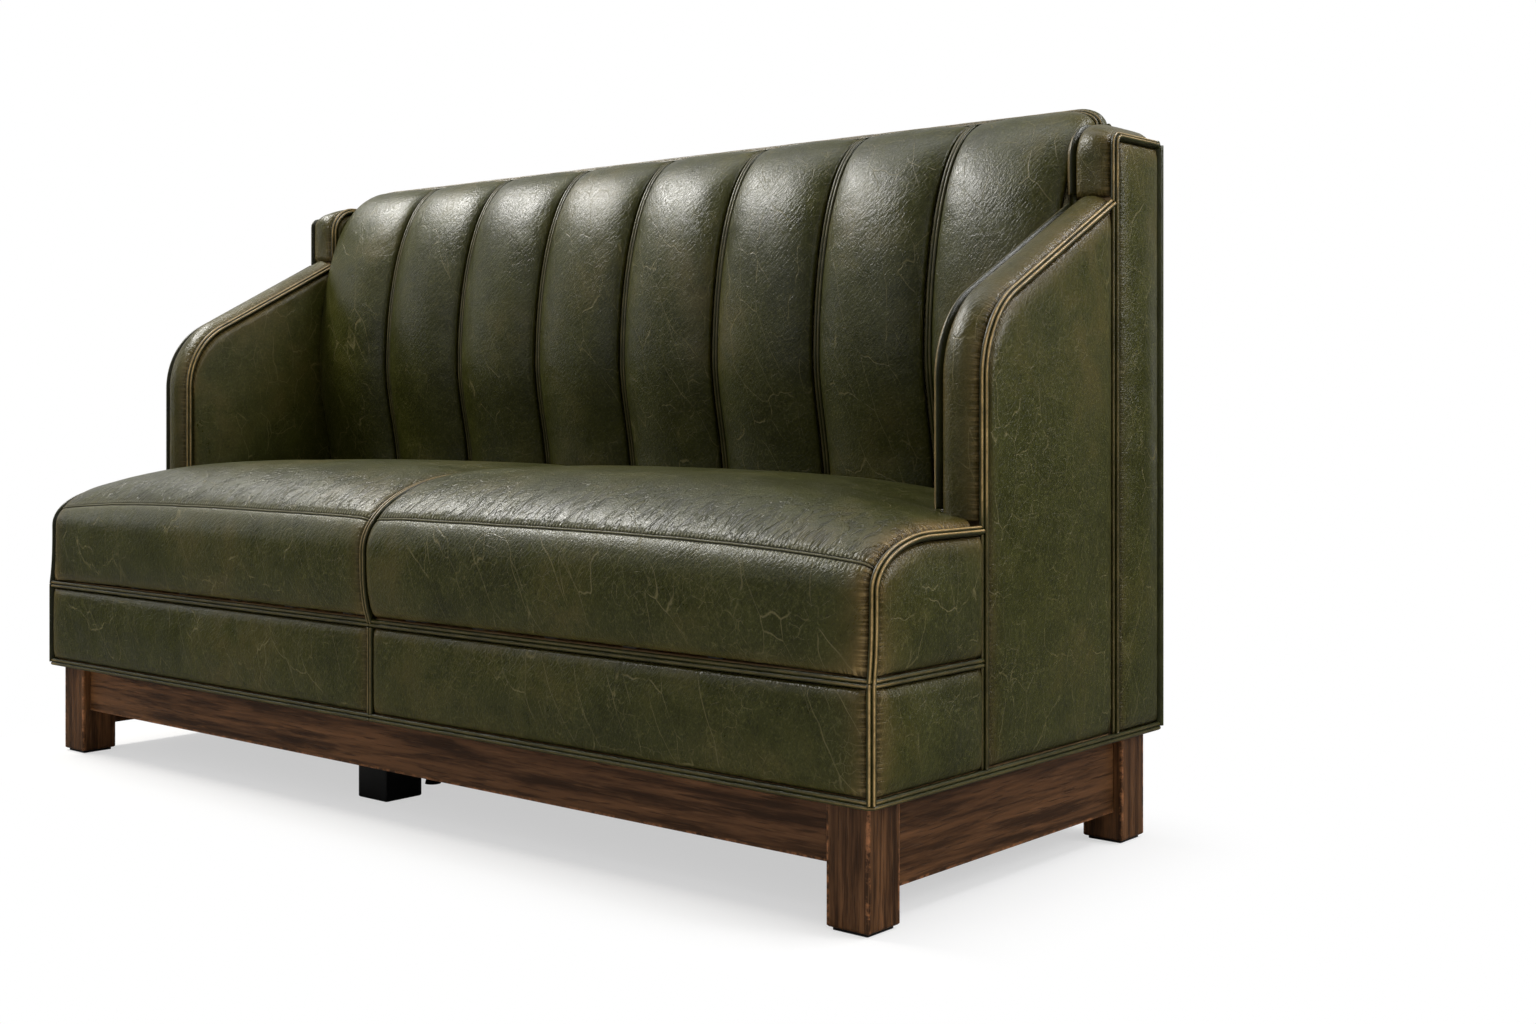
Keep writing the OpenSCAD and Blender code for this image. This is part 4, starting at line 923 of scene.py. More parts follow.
def crest_band():
    """The padded crest: a cubic curve from the top seam over and down behind, dropped at both shoulders."""
    welt = crest_seam()
    front = welt[0] + WELT_CLEAR
    curve = [[front, BACK_H - RIM / 2], [front - 0.001, BACK_H + 0.012], [DEPTH + PAD_CROWN, BACK_H + 0.010],
             [DEPTH - PAD_CROWN, REAR_WELT_H + WELT_CLEAR]]

    def surface(u, v):
        x = mix(-INNER - CREST_OVER, INNER + CREST_OVER, u)
        yz = bezier(curve, v)
        z = np.maximum(REAR_WELT_H + WELT_CLEAR + 0.001, yz[..., 1] - crest_drop(x))
        return xyz(x, yz[..., 0], z)

    return surface


def crest_seam():
    """Where the crest's piping runs, as [y, z]."""
    out = back_out(np.array(1.0))
    return back_line(np.array(1.0)) + WELT_CLEAR * np.array([out[1], -out[0]]) - RIM * out


# Rough lengths of the covers: they set how many steps each has and how far its crown reaches
CUSHION_LEN = 0.68
SEAT_SIDE_TALL = 0.139
APRON_TALL = 0.117
ARM_PANEL = (0.30, 0.60)
ARM_INNER_PANEL = (0.30, 0.42)
BOXING_LEN = 0.54
STRIP_LEN = 0.19
STRIP_W = 0.050
END_TALL = 0.754
END_INNER_TALL = 0.57
CHANNEL_LEN = 0.62
CREST_LEN = 0.075

# What an arm's outer cover and the end's piping leave free between them
ARM_GAP = 0.003


def covers():
    """Every cover of the bench, with the wear of each seam by the border it runs along."""
    made = []

    def add(*args, **kwargs):
        made.append(Cover(*args, **kwargs))

    for side, word in ((1, "right"), (-1, "left")):
        add("seat_cushion_" + word, ["seat_cover_" + word], cushion(side), (HALF - PAD, CUSHION_LEN),
            {"u0": 0.45, "u1": 1.3, "v0": 0.45}, (0, -0.7, 0.7), swell=0.0045, crown=0.0, roll=0.018,
            rows=CUSHION_ROWS, steps=(0.003, 0.0062), stitch_row=STITCH_ROW)
        y1 = ARM_FRONT + WELT_IN - WELT_CLEAR
        side_line = np.concatenate([cushion_nose(0.0, EDGE_IN, 24), [[y1, SIDE_SEAM_H - EDGE_IN]]])
        low_line = level(EDGE_IN, y1, SEAM_H + WELT_CLEAR)
        add("seat_side_cover_" + word, ["seat_side_" + word], side_panel(side, low_line, side_line, HALF),
            (y1 - EDGE_IN, SEAT_SIDE_TALL), {"u0": 0.8, "u1": 0.25, "v0": 0.25, "v1": 0.55}, (side, 0, 0),
            crown=0.005, roll=0.016)
        low_line, high_line = (level(EDGE_IN, y1, z) for z in (LOW_EDGE_H, SEAM_H - WELT_CLEAR))
        add("apron_side_cover_" + word, ["apron_side_" + word], side_panel(side, low_line, high_line, HALF),
            (y1 - EDGE_IN, APRON_TALL), {"u0": 0.75, "u1": 0.2, "v0": 0.2, "v1": 0.25}, (side, 0, 0),
            crown=0.005, roll=0.016)

        def apron(u, v, side=side):
            x = side * mix(WELT_CLEAR, HALF - EDGE_IN, u)
            return xyz(x, 0.0, mix(LOW_EDGE_H, SEAM_H - WELT_CLEAR, v))

        add("apron_cover_" + word, ["apron_front_" + word], apron, (HALF - PAD, APRON_TALL),
            {"u0": 0.4, "u1": 0.75, "v0": 0.2, "v1": 0.25}, (0, -1, 0), crown=0.005, roll=0.016)

        y0, y1 = ARM_FRONT + WELT_IN + WELT_CLEAR, END_FRONT + WELT_IN - WELT_CLEAR - ARM_GAP
        arm_line = arm_path(EDGE_IN, ARM_BEND_Z, y1)
        add("arm_outer_cover_" + word, ["arm_outer_" + word],
            side_panel(side, level(y0, y1, LOW_EDGE_H), arm_line, HALF), ARM_PANEL,
            {"u0": 0.5, "u1": 0.25, "v0": 0.2, "v1": 0.72}, (side, 0, 0), crown=0.006, drop=0.010, roll=0.028)
        y1 = POST_Y - GAP
        arm_line = arm_path(EDGE_IN, ARM_BEND_Z, y1)
        inner_low = SEAM_H + (SIDE_SEAM_H - SEAM_H) / 2
        add("arm_inner_cover_" + word, ["arm_inner_" + word],
            side_panel(side, level(arm_line[0, 0], y1, inner_low), arm_line, HALF - ARM_T),
            ARM_INNER_PANEL, {"u0": 0.4, "v1": 0.6}, (-side, 0, 0), thick=0.026)
        y1 = high("back_board")[1] - FACE
        end_line = end_path(EDGE_IN, END_H, END_H + END_RISE, END_INNER_R)[1:]
        end_line[-1, 0] = y1
        add("end_inner_cover_" + word, ["arm_inner_" + word],
            side_panel(side, level(POST_Y, y1, inner_low), end_line, HALF - ARM_T),
            (y1 - POST_Y, END_INNER_TALL), {"v1": 0.5}, (-side, 0, 0), thick=0.010, crown=0.0, swell=0.0005)
        boxing = arm_path(0, BOXING_LOW, END_FRONT - GAP)
        add("arm_boxing_cover_" + word, ["arm_boxing_" + word],
            strip_panel(side, boxing, boxing), (STRIP_W, BOXING_LEN), {"u0": 0.6, "u1": 0.7}, (0, -0.7, 0.7),
            crown=0.0055, swell=0.0008, steps=(0.0024, 0.0050))
        outer_line = end_path(0, STRIP_LOW, END_H, END_OUTER_R)
        inner_line = end_path(0, STRIP_LOW, END_H + END_RISE, END_INNER_R)
        add("back_strip_" + word, ["back_strips"], strip_panel(side, outer_line, inner_line), (STRIP_W, STRIP_LEN),
            {"u0": 0.5, "u1": 0.6, "v0": 0.2}, (0, -0.7, 0.7), crown=0.0045, swell=0.0006, steps=(0.0024, 0.0040))
        y0, y1 = END_FRONT + WELT_IN + WELT_CLEAR, DEPTH - WELT_IN - WELT_CLEAR
        low_line, high_line = (level(y0, y1, z) for z in (LOW_EDGE_H, END_H - EDGE_IN))
        add("back_end_cover_" + word, ["back_end_" + word], side_panel(side, low_line, high_line, HALF),
            (y1 - y0, END_TALL), {"u0": 0.3, "u1": 0.2, "v0": 0.2, "v1": 0.4}, (side, 0, 0),
            crown=0.006, drop=0.007, roll=0.020)
    for index in range(8):
        seams = {"u0": 0.12, "u1": 0.12, "v1": 0.2}
        add(f"back_channel_{index + 1}", ["back_channels"], channel(index),
            (CHANNEL_PITCH - 2 * WELT_CLEAR, CHANNEL_LEN), seams, (0, -1, 0.1),
            swell=0.0032, crown=0.0, drop=0.004, roll=0.012, thick=0.018, steps=(0.0022, 0.0070))
    add("crest_cover", ["back_top_band"], crest_band(), (2 * INNER, CREST_LEN), {"v0": 0.3, "v1": 0.15}, (0, 0.3, 0.9),
        swell=0.0008, crown=0.0, drop=0.005, roll=0.007, thick=0.012, steps=(0.0030, 0.0060))

    def rear(u, v):
        x = mix(-HALF + EDGE_IN, HALF - EDGE_IN, u)
        return xyz(x, DEPTH, mix(LOW_EDGE_H, REAR_WELT_H - WELT_CLEAR, v))

    add("rear_panel", ["rear_cover"], rear, (2 * (HALF - EDGE_IN), END_TALL),
        {"u0": 0.2, "u1": 0.2, "v0": 0.1, "v1": 0.2}, (0, 1, 0), steps=(0.0032, 0.0115), swell=0.0022, fill=0.7)
    return made


# Piping: two cords in one strip of leather

CORD_R = WELT_R / 2
CORD_LIFT = 0.0022
CORD_FACETS = 10
# The ridge value of the cords' flanks and wedge: the lower it is, the more painted shade they get.
FLANK = 0.36
CORD_THICK = 0.0052
CORD_RIDGE = 0.6
WEDGE = 4.4
CORNER_R = 0.0035
CORNER_WEAR = 0.020


def double_profile():
    """Section of the piping as (across, out, ridge): two round cords side by side over a wedge sewn into the seam."""
    turn = np.linspace(math.pi, 0, CORD_FACETS)
    left = np.stack([-CORD_R + CORD_R * np.cos(turn), CORD_R * np.sin(turn), np.sin(turn)], axis=1)
    left[:, 2] = np.where(turn > math.pi / 2, np.maximum(left[:, 2], FLANK), left[:, 2])
    right = left[::-1] * [-1, 1, 1]
    # The flanks and the wedge's foot, in radii of a cord
    under = np.array([[1.85, -0.9, FLANK], [0.4, -WEDGE, FLANK], [-0.4, -WEDGE, FLANK], [-1.85, -0.9, FLANK]])
    under = under * [CORD_R, CORD_R, 1]
    return np.concatenate([left, right[1:], under])


def round_profile():
    """Section of one thicker cord over the same wedge: from the wedge's left over the top to its right."""
    turn = np.linspace(1.2 * math.pi, -0.2 * math.pi, 12)
    cord = np.stack([CORD_THICK * np.cos(turn), CORD_THICK * np.sin(turn), np.full(len(turn), CORD_RIDGE)], axis=1)
    tail = np.array([0.4 * CORD_R, -WEDGE * CORD_R, CORD_RIDGE])
    return np.concatenate([[tail * [-1, 1, 1]], cord, [tail]])


def swept(path, out, profile):
    """A profile carried along a path: out points away from the seam, and across is square to both."""
    path = np.asarray(path, float)
    out = np.broadcast_to(np.asarray(out, float), path.shape)
    along = unit(np.gradient(path, axis=0))
    out = unit(out - (out * along).sum(-1, keepdims=True) * along)
    across = np.cross(along, out)
    sideways, outwards = profile[None, :, 0:1], profile[None, :, 1:2] + CORD_LIFT
    rings = path[:, None] + across[:, None] * sideways + out[:, None] * outwards
    count, sides = rings.shape[:2]
    caps = []
    for end, turn in ((0, 1), (count - 1, -1)):
        i = np.arange(sides // 2 - 1)
        cap = end * sides + np.stack([i, i + 1, sides - 2 - i, sides - 1 - i], axis=1)
        caps.append(cap[:, ::turn])
    ridge = np.tile(profile[:, 2], count)
    return rings.reshape(-1, 3), np.concatenate([tube_quads(count, sides), *caps]), ridge


def even(path, step=0.004):
    """A path resampled to even steps."""
    path = np.asarray(path, float)
    length = np.linalg.norm(np.diff(path, axis=0), axis=1).sum()
    return resampled(path, np.linspace(0, 1, max(3, round(length / step) + 1)))


def piping(name, nodes, runs, cords=()):
    """All the piping of one group: double runs, then plain cords.

    Each run is a path, its outward direction and its wear."""
    points, faces, ridges, worn = [], [], [], []
    start = 0
    for number, (path, out, wear) in enumerate([*runs, *cords]):
        p, f, r = swept(path, out, double_profile() if number < len(runs) else round_profile())
        points.append(p)
        faces.append(f + start)
        ridges.append(r)
        worn.append(np.repeat(np.broadcast_to(wear, len(path)), len(p) // len(path)))
        start += len(p)
    fields = {"ridge": np.concatenate(ridges), "worn": np.concatenate(worn)}
    points, faces = to_row(np.concatenate(points)), np.concatenate(faces)
    piece = new_piece(name, points, faces, PIPING, fields)
    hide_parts(*nodes)
    return piece


def in_plane(x, yz, inward):
    """A path in a plane of constant x, and the direction out of it: the path's normal leaning towards +-X by inward."""
    yz = even(yz)
    along = unit(np.gradient(yz, axis=0))
    normal = np.stack([np.full(len(yz), inward), -along[:, 1], along[:, 0]], axis=1)
    return np.column_stack([np.full(len(yz), x), yz]), unit(normal)


def round_corner(x, y, sy):
    """Quarter circle inside the right-hand corner at x, y: the front one for sy = -1 and the rear one for sy = 1."""
    turn = np.linspace(0, math.pi / 2, 9) + min(sy, 0) * math.pi / 2
    return np.array([x, y]) + CORNER_R * np.stack([np.cos(turn) - 1, np.sin(turn) - sy], axis=1)


def level_run(xy, z, side):
    """A run at one height along [x, y] points of the right half, and its outward direction, mirrored for side = -1."""
    xy = even(xy)
    along = unit(np.gradient(xy, axis=0))
    out = np.column_stack([along[:, 1], -along[:, 0], np.zeros(len(xy))])
    path = np.column_stack([xy, np.full(len(xy), z)])
    mirror = np.array([side, 1, 1])
    return path * mirror, out * mirror


def upright(x, y, z0, z1, out):
    """A straight run from one height up to another, and its outward direction."""
    return even([[x, y, z0], [x, y, z1]]), out


def near_corner(path, side):
    """1 at the bench's front corner, falling exponentially along a run."""
    return np.exp(-np.hypot(path[:, 0] - side * HALF, path[:, 1]) / CORNER_WEAR)


def seat_piping():
    """Round the bottom, along the apron's seam, over the cushion's sides and its middle, and up the front corners."""
    x, rear, y1 = HALF - WELT_IN, DEPTH - WELT_IN, ARM_FRONT + WELT_IN - WELT_CLEAR
    runs = []

    def over_cushion(share, y_end, dip):
        """The cushion's own section at a share of its crown, drawn in by the piping's depth."""
        nose = cushion_nose(share, WELT_IN, 40)
        t = np.linspace(0, 1, 20)[:-1]
        face = np.stack([mix(WELT_IN, nose[0, 0], 1 - (1 - t) ** 3), mix(SEAM_H, nose[0, 1], t)], axis=1)
        y = np.linspace(nose[-1, 0], y_end, 30)[1:]
        return np.concatenate([face, nose, np.stack([y, nose[-1, 1] - dip * rear_share(y) ** 4], axis=1)])

    for side in (1, -1):
        front = np.concatenate([[[GAP, WELT_IN]], round_corner(x, WELT_IN, -1)])
        path, out = level_run(np.concatenate([front, round_corner(x, rear, 1), [[GAP, rear]]]), LOW_WELT_H, side)
        runs.append((path, out, 0.10 + 0.5 * near_corner(path, side)))
        path, out = level_run(np.concatenate([front, [[x, y1]]]), SEAM_H, side)
        runs.append((path, out, 0.12 + 0.9 * near_corner(path, side)))
        runs.append((*in_plane(side * x, over_cushion(0.0, y1, 0.0), side), 1.0))
        runs.append((*upright(side * x, WELT_IN, LOW_WELT_H, SEAM_H, (side, -1, 0)), 1.0))
    runs.append((*upright(0, WELT_IN, LOW_EDGE_H, SEAM_H - WELT_CLEAR, (0, -1, 0)), 0.28))
    path, out = in_plane(0, over_cushion(float(seat_share(0.0)), SEAT_D, REAR_DIP), 0)
    runs.append((path, out, 0.28 + 0.25 * smooth((path[:, 2] - SEAM_H - NOSE_H) / 0.03)))
    return piping("seat_piping", ["seat_welts"], runs)


def arm_piping():
    """Along both edges of each arm."""
    runs = []
    y1 = END_FRONT + WELT_IN - WELT_CLEAR - GAP
    for side in (1, -1):
        path, out = in_plane(side * (HALF - WELT_IN), arm_path(WELT_IN, LOW_EDGE_H, y1), side)
        runs.append((path, out, 0.15 + 0.75 * smooth((path[:, 2] - SIDE_SEAM_H) / 0.05)))
        inner = arm_path(WELT_IN, BOXING_LOW + 2 * WELT_CLEAR, y1)
        runs.append((*in_plane(side * (HALF - ARM_T + WELT_IN), inner, -side), 0.7))
    return piping("arm_piping", ["arm_welts"], runs)


def back_piping():
    """Between the channels, along the crest and round both ends, and plain cords along the rear edges."""
    runs, cords = [], []
    shares = np.linspace(0, 0.98, 60)
    for index in range(1, 8):
        yz = back_line(shares) - back_out(shares) * RIM
        runs.append((*in_plane(index * CHANNEL_PITCH - INNER, yz, 0), 0.10))
    seam = crest_seam()
    x = np.linspace(-INNER, INNER, 380)
    crest = np.stack([x, np.full(x.shape, seam[0]), seam[1] - crest_drop(x)], axis=1)
    runs.append((crest, (0, -0.55, 0.85), 0.3))
    rear = DEPTH - WELT_IN
    cords.append((even([[-HALF + WELT_IN, rear, REAR_WELT_H], [HALF - WELT_IN, rear, REAR_WELT_H]]), (0, 1, 1), 0.12))
    for side in (1, -1):
        path, out = in_plane(side * (HALF - WELT_IN), end_path(WELT_IN, LOW_EDGE_H, END_H, END_OUTER_R), side)
        runs.append((path, out, 0.18 + 0.45 * smooth((path[:, 2] - ARM_REAR_H + 0.02) / 0.04)))
        inner = end_path(WELT_IN, STRIP_LOW + WELT_CLEAR, END_H + END_RISE, END_INNER_R)
        runs.append((*in_plane(side * (HALF - ARM_T + WELT_IN), inner, -side), 0.55))
        cords.append((*upright(side * (HALF - WELT_IN), rear, LOW_WELT_H, REAR_WELT_H, (side, 1, 0)), 0.1))
    return piping("back_piping", ["back_welts"], runs, cords)


# Wooden base

LEG_EDGE_R = 0.0022
RAIL_EDGE_R = 0.0012
END_BEVEL = 0.0015
END_MARGIN = 0.004
RUBBED_W = 0.003


def rounded_bar(name, nodes, axis, radius, material, step=0.006):
    """A bar along one axis with a rounded rectangle for its section and a small bevel at both ends.

    Its edge attribute is 1 on the rounded corners and falls to 0 over RUBBED_W beside them."""
    lo, hi = low(nodes[0]), high(nodes[0])
    k = "xyz".index(axis)
    a, b = [i for i in range(3) if i != k]
    centre, half = (lo + hi) / 2, (hi - lo) / 2
    turn = np.linspace(0, math.pi / 2, 5)
    corners = []
    for quarter, (sa, sb) in enumerate(((1, 1), (-1, 1), (-1, -1), (1, -1))):
        angle = turn + quarter * math.pi / 2
        arc = np.stack([sa * (half[a] - radius) + radius * np.cos(angle),
                        sb * (half[b] - radius) + radius * np.sin(angle), np.ones(5)], axis=1)
        toward, width = (([-sa, 0, 0], 2 * half[a]), ([0, -sb, 0], 2 * half[b]))[quarter % 2]
        flat = np.array([[RUBBED_W], [width - 2 * radius - RUBBED_W]])
        corners += [arc, arc[-1] * [1, 1, 0] + flat * toward]
    section = np.concatenate(corners)
    length = hi[k] - lo[k]
    middle = np.linspace(END_MARGIN, length - END_MARGIN, max(2, round(length / step)))
    along = np.concatenate([[0, END_BEVEL], middle, [length - END_BEVEL, length]])
    shrink = np.ones(len(along))
    shrink[[0, -1]] = 1 - END_BEVEL / min(half[a], half[b])
    rings = np.zeros((len(along), len(section), 3))
    rings[..., a] = centre[a] + section[None, :, 0] * shrink[:, None]
    rings[..., b] = centre[b] + section[None, :, 1] * shrink[:, None]
    rings[..., k] = lo[k] + along[:, None]
    count, sides = rings.shape[:2]
    mids = np.array([centre, centre])
    mids[0, k], mids[1, k] = lo[k], hi[k]
    first = count * sides
    j = np.arange(0, sides, 2)
    near_cap = np.stack([np.full(len(j), first), (j + 2) % sides, (j + 1) % sides, j], axis=1)
    top = (count - 1) * sides
    far_cap = np.stack([np.full(len(j), first + 1), top + j, top + (j + 1) % sides, top + (j + 2) % sides], axis=1)
    quads = np.concatenate([tube_quads(count, sides)[:, [0, 3, 2, 1]], near_cap, far_cap])
    if k == 1:
        quads = quads[:, ::-1]
    edge = np.concatenate([np.tile(section[:, 2], count), [0, 0]])
    piece = new_piece(name, np.concatenate([rings.reshape(-1, 3), mids]), quads, material, {"edge": edge})
    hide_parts(*nodes)


def base():
    """The four legs, the rails between them and the middle leg."""
    for word in ("front_left", "front_right", "rear_left", "rear_right"):
        rounded_bar("wooden_leg_" + word, ["leg_" + word], "z", LEG_EDGE_R, WALNUTS["z"])
    for word, axis in (("front", "x"), ("rear", "x"), ("left", "y"), ("right", "y")):
        name = "base_rail_" + word
        rounded_bar("wooden_" + name, [name], axis, RAIL_EDGE_R, WALNUTS[axis], step=0.02)
    rounded_bar("middle_leg", ["centre_leg"], "z", LEG_EDGE_R, BLACK_LACQUER)


# Stitching of the cushion: two rows of short threads along the seam over its nose

STITCH_PITCH = 0.0042
STITCH_LEN = 0.0030
STITCH_R = 0.00040
STITCH_RINGS = ((-0.5, 0.35), (-0.3, 1.0), (0.3, 1.0), (0.5, 0.35))


def stitching(cushions):
    """Threads in the two grooves. Each stitch is a small spindle: six sides, four rings, fattest in its middle."""
    ring_at, ring_r = np.array(STITCH_RINGS).T[:, :, None] * [[[STITCH_LEN]], [[STITCH_R]]]
    turn = np.arange(6) * math.pi / 3
    caps = [[0, 1, 2, 3], [0, 3, 4, 5], [21, 20, 19, 18], [23, 22, 21, 18]]
    spindle = np.concatenate([tube_quads(4, 6), caps])
    points, faces, start = [], [], 0
    for cushion in cushions:
        for row in (STITCH_ROW - THREAD_ROWS, STITCH_ROW + THREAD_ROWS):
            groove, out = cushion.outer[row], cushion.normal[row]
            length = np.linalg.norm(np.diff(groove, axis=0), axis=1).sum()
            shares = np.arange(0.010, length - 0.008, STITCH_PITCH) / length
            centre = resampled(groove, shares)
            along = unit(np.gradient(centre, axis=0))
            out = unit(np.stack([np.interp(shares, cushion.u, out[:, k]) for k in range(3)], axis=1))
            # Each ring point is a number of steps along, across and out from its stitch's centre
            steps = np.stack([ring_at + 0 * turn, ring_r * np.cos(turn), ring_r * np.sin(turn)])
            frames = np.stack([along, np.cross(along, out), out], axis=1)
            spots = centre[:, None, None] + np.einsum("krt,nkx->nrtx", steps, frames)
            faces.append((start + np.arange(len(shares))[:, None, None] * 24 + spindle).reshape(-1, 4))
            points.append(spots.reshape(-1, 3))
            start += len(shares) * 24
    points, faces = to_row(np.concatenate(points)), np.concatenate(faces)
    return new_piece("cushion_stitching", points, faces, THREAD)


# Hidden soft parts

FILLING_GAP = 0.004
CLOTH_HALF = 0.0006
RIPPLE = 0.0004


def seat_filling():
    """The seat's foam: the cushion's own surface, drawn in by a pad's thickness, down to the deck."""
    lo = low("seat_foam")
    rows = np.linspace(0, 1, 60)
    x = np.linspace(-INNER + GAP, INNER - GAP, 120)
    top = cushion_point(x[None, :], *parts_at(rows[:, None]))
    centre_y, inset = SEAT_D / 2, PAD + FILLING_GAP
    top[..., 1] = centre_y + (top[..., 1] - centre_y) * (1 - 2 * inset / SEAT_D)
    top[..., 2] = np.maximum(top[..., 2] - inset * smooth((top[..., 2] - lo[2]) / 0.05), lo[2] + 0.001)
    bottom = top.copy()
    bottom[..., 1] = mix(top[0:1, :, 1], top[-1:, :, 1], rows[:, None])
    bottom[..., 2] = lo[2]
    points, faces = closed_shell(top, bottom)
    piece = new_piece("seat_filling", to_row(points), faces, FOAM)
    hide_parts("seat_foam")


def back_filling():
    """The back's foam: flat behind, and a channel's thickness inside the line of the seams in front."""
    lo, hi = low("back_foam"), high("back_foam")
    shares = np.linspace(0, 0.9, 40)
    face = back_line(shares) - back_out(shares) * (CHANNEL_T + 0.001)
    x = np.linspace(lo[0], hi[0], 90)
    front = xyz(x[None, :], face[:, 0:1], face[:, 1:2])
    front[0, :, 2] = lo[2]
    rear = front.copy()
    rear[..., 1] = hi[1] - FACE
    points, faces = closed_shell(front, rear)
    piece = new_piece("back_filling", to_row(points), faces, FOAM)
    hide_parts("back_foam")


def flat_cloth(name, node, material, sag, tucks):
    """A stretched cloth in its node's box: it sags a little and gathers towards its tacked edges."""
    lo, hi = low(node), high(node)
    u, v = np.linspace(0, 1, 150)[None, :], np.linspace(0, 1, 60)[:, None]
    x, y = mix(lo[0], hi[0], u), mix(lo[1], hi[1], v)
    edge = np.minimum(np.minimum(u, 1 - u) * (hi[0] - lo[0]), np.minimum(v, 1 - v) * (hi[1] - lo[1]))
    ripple = waves(x + 0 * v, 0.045, tucks) * waves(y + 0 * u, 0.055, tucks + 1) * np.exp(-edge / 0.05) * RIPPLE
    z = (lo[2] + hi[2]) / 2 - sag * smooth(edge / 0.12) + ripple
    top = xyz(x, y - FACE, z)
    thin = np.array([0, 0, CLOTH_HALF])
    points, faces = closed_shell(top + thin, top - thin)
    piece = new_piece(name, to_row(points), faces, material)
    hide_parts(node)
    float(hi[0] - lo[0])
    float(hi[1] - lo[1])
    return piece


# The rest of the frame keeps its own shape and gets its finish

NODE_FINISHES = (
    (BLACK_PLASTIC, ["leg_glides"]),
    (BLACK_RUBBER, ["foot_pad"]),
    (STEEL, ["foot_nut", "foot_stem", "bolts", "seat_springs", "spring_clips"]),
    (BEECHES["x"], ["base_corner_blocks", "seat_rail_front", "seat_rail_rear", "seat_corner_blocks", "spring_rail",
                    "back_mid_rail", "back_top_rail"]),
    (BEECHES["y"], ["base_stretcher", "dowels", "seat_side_rails", "seat_cross_rail"]),
    (PLYWOOD, ["gable_left", "gable_right", "back_post_left", "back_post_right", "back_board"]),
)


def finish_nodes():
    for material, nodes in NODE_FINISHES:
        for node in nodes:
            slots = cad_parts[node].data.materials
            slots.clear()
            slots.append(material)


# Studio

ROOM_LIGHT = 0.24
ROOM_MIRRORED = 0.05
WALL_MIRRORED = 0.55
FLOOR_WHITE = 0.56
FLOOR_REACH = 30.0
FLOOR_INSET = 0.05
FLOOR_FADE = 0.22
LENS, LENS_SHIFT = 42.44, -0.0688
EYE = (1.9890, -1.5252 + FACE, 0.5681)
EYE_TURN = math.radians(40.05)
VIEW = (-0.643, 0.766, 0.0)

# Place, target, size, power and colour of each lamp
LAMPS = {
    "left box": ((-2.2, -0.6, 3.0), (0, 0.1, 0.5), (1.4, 0.7), 120, (1.0, 0.985, 0.94)),
    "top strip": ((0, 0.2, 2.7), (0, 0.1, 0.45), (2.8, 0.7), 22),
    "edge strip": ((1.75, 1.0, 2.5), (0.85, 0, 0.7), (1.3, 0.3), 32),
    "front": ((-0.6, -3.2, 1.7), (0, 0, 0.45), (2.4, 1.4), 13),
    "left strip": ((-2.4, -0.9, 1.3), (0.6, 0, 0.6), (0.35, 1.3), 5),
    "corner": ((2.3, -2.0, 2.1), (0.7, -0.1, 0.5), (0.8, 0.4), 8),
    "right": ((3.3, 0.9, 1.9), (0.7, 0, 0.5), (1.0, 1.2), 46),
}


def camera():
    """The photograph's view: level, with the picture shifted down instead of tilted."""
    data = bpy.data.cameras.new("camera")
    data.lens, data.shift_y, data.clip_end = LENS, LENS_SHIFT, 2 * FLOOR_REACH
    eye = new_object("camera", data)
    eye.location = EYE
    eye.rotation_euler = (math.radians(90), 0, EYE_TURN)
    bpy.context.scene.camera = eye


def area_light(name, place, target, size, power, colour=(1, 1, 1)):
    """A rectangular lamp at a place that points at a target."""
    data = bpy.data.lights.new(name, "AREA")
    data.shape = "RECTANGLE"
    data.size, data.size_y = size
    data.energy = power
    data.color = colour
    lamp = new_object(name, data)
    lamp.location = place
    lamp.rotation_euler = (Vector(target) - Vector(place)).to_track_quat("-Z", "Y").to_euler()


def rays(s):
    """1 for the camera's own rays, and 1 for those mirrored or let through by a surface."""
    path = s.node("ShaderNodeLightPath")
    return s.out(path, "Is Camera Ray"), s.high(s.out(path, "Is Glossy Ray"), s.out(path, "Is Transmission Ray"))


def room():
    """The world: plain white to the camera.

    Reflections show the white behind the bench, and a dimmer room on the camera's side."""
    s = Shader("studio", bpy.data.worlds.new("studio"))
    bpy.context.scene.world = s.material
    seen, mirrored = rays(s)
    direction = s.out(s.node("ShaderNodeTexCoord"), "Generated")
    facing = s.vector("DOT_PRODUCT", direction, VIEW, "Value")
    light = mirrored * (s.step(facing, 0.30, 0.80, (ROOM_MIRRORED, WALL_MIRRORED)) - ROOM_LIGHT) + ROOM_LIGHT
    background = s.node("ShaderNodeBackground", {"Color": grey(1.0), "Strength": seen * (1 - ROOM_LIGHT) + light})
    s.join(background, s.node("ShaderNodeOutputWorld"), 0)


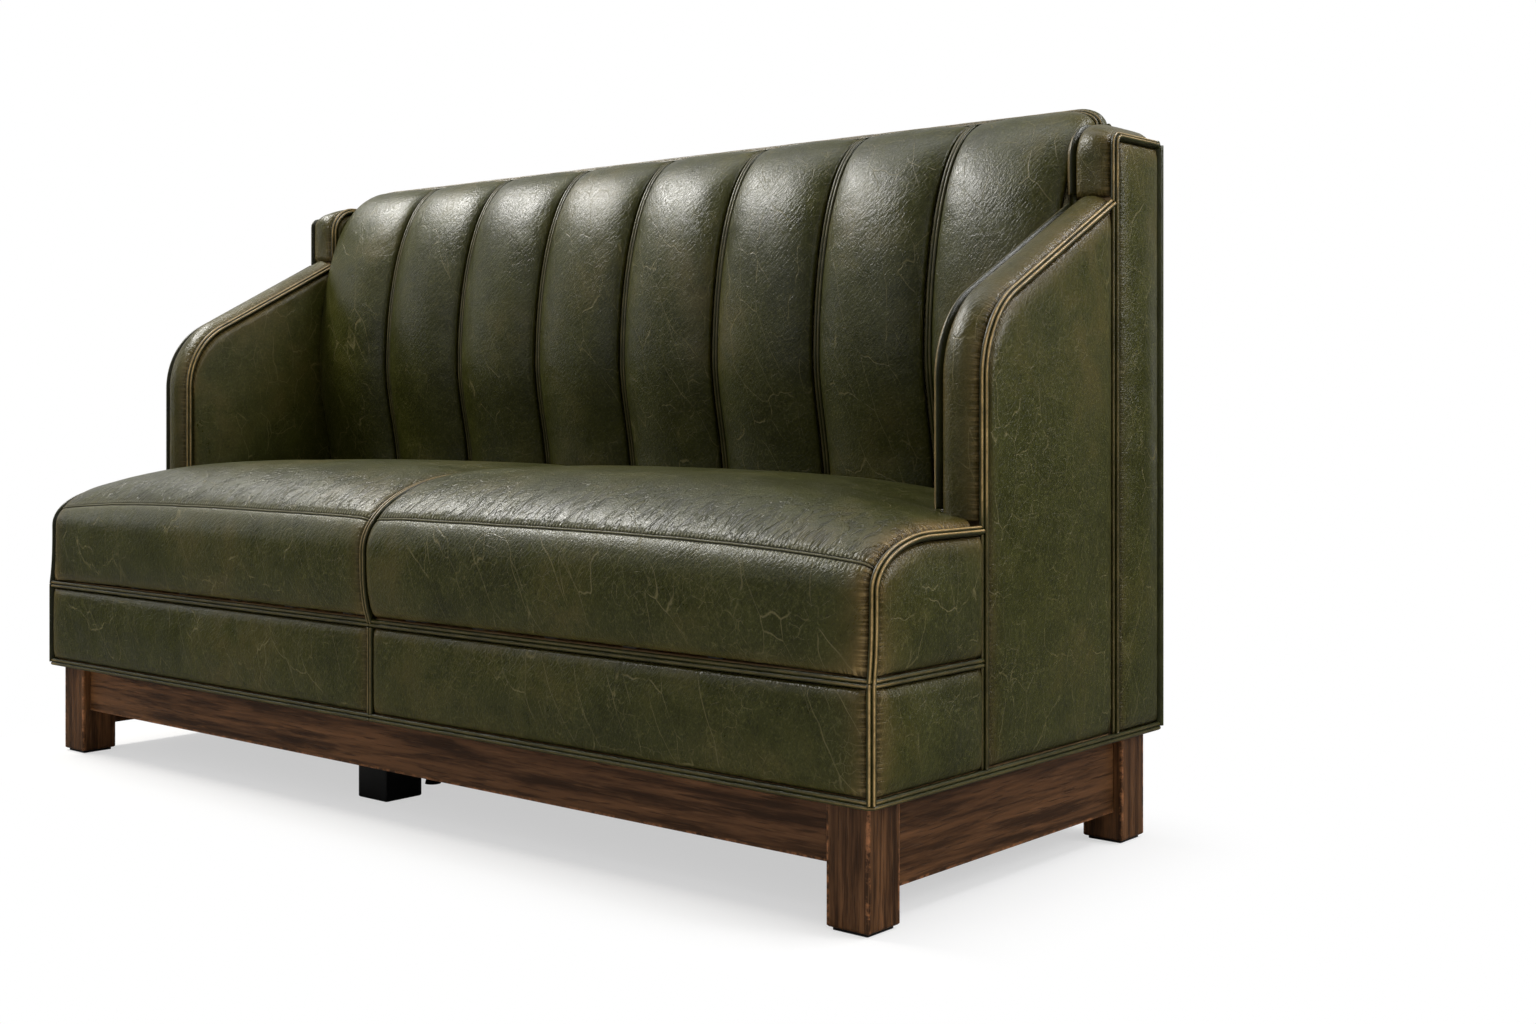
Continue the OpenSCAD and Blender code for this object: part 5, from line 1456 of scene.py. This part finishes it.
def white_floor():
    """The floor, which turns from pale to plain white away from the bench, and in reflections only behind it.

    Seen from below it isn't there, so that the underside can be looked at."""
    s = Shader("floor")
    seen, mirrored = rays(s)
    place = s.place()
    inside = (HALF - FLOOR_INSET, DEPTH / 2 - FLOOR_INSET, 0.0)
    outside = s.vector("MAXIMUM", s.vector("SUBTRACT", s.vector("ABSOLUTE", place), inside))
    away = s.vector("LENGTH", outside, key="Value")
    behind = s.vector("DOT_PRODUCT", s.vector("NORMALIZE", place), VIEW, "Value")
    white_share = s.step(away, 0.0, FLOOR_FADE, (FLOOR_WHITE, 1.0))
    share = white_share * (seen + mirrored * s.step(behind, 0.60, 0.90, (0.0, WALL_MIRRORED)))
    mixed = s.node("ShaderNodeMixShader", {0: share})
    s.join(s.node("ShaderNodeBsdfDiffuse", {"Color": s.mix(mirrored, grey(0.86), grey(0.14))}), mixed, 1)
    s.join(s.node("ShaderNodeEmission", {"Color": grey(1.0), "Strength": 1.0}), mixed, 2)
    unseen = s.node("ShaderNodeMixShader", {0: s.out(s.node("ShaderNodeNewGeometry"), "Backfacing")})
    s.join(mixed, unseen, 1)
    s.join(s.node("ShaderNodeBsdfTransparent"), unseen, 2)
    s.join(unseen, s.node("ShaderNodeOutputMaterial"), 0)
    mesh = bpy.data.meshes.new("floor")
    corners = [(x * FLOOR_REACH, y * FLOOR_REACH, 0) for x, y in ((-1, -1), (1, -1), (1, 1), (-1, 1))]
    mesh.from_pydata(corners, [], [(0, 1, 2, 3)])
    mesh.materials.append(s.material)
    floor = new_object("floor", mesh)


def studio():
    room()
    white_floor()
    for name, lamp in LAMPS.items():
        area_light(name, *lamp)
    bpy.context.scene.view_settings.view_transform = "Standard"


camera()
studio()
every_cover = covers()
settle(every_cover)
for cover in every_cover:
    cover.make()
seat_piping()
arm_piping()
back_piping()
base()
stitching([cover for cover in every_cover if cover.stitch_row is not None])
seat_filling()
back_filling()
flat_cloth("dust_cloth", "dust_cover", CAMBRIC, 0.0012, 5)
flat_cloth("deck_cloth_sheet", "deck_cloth", HESSIAN, 0.0, 9)
finish_nodes()
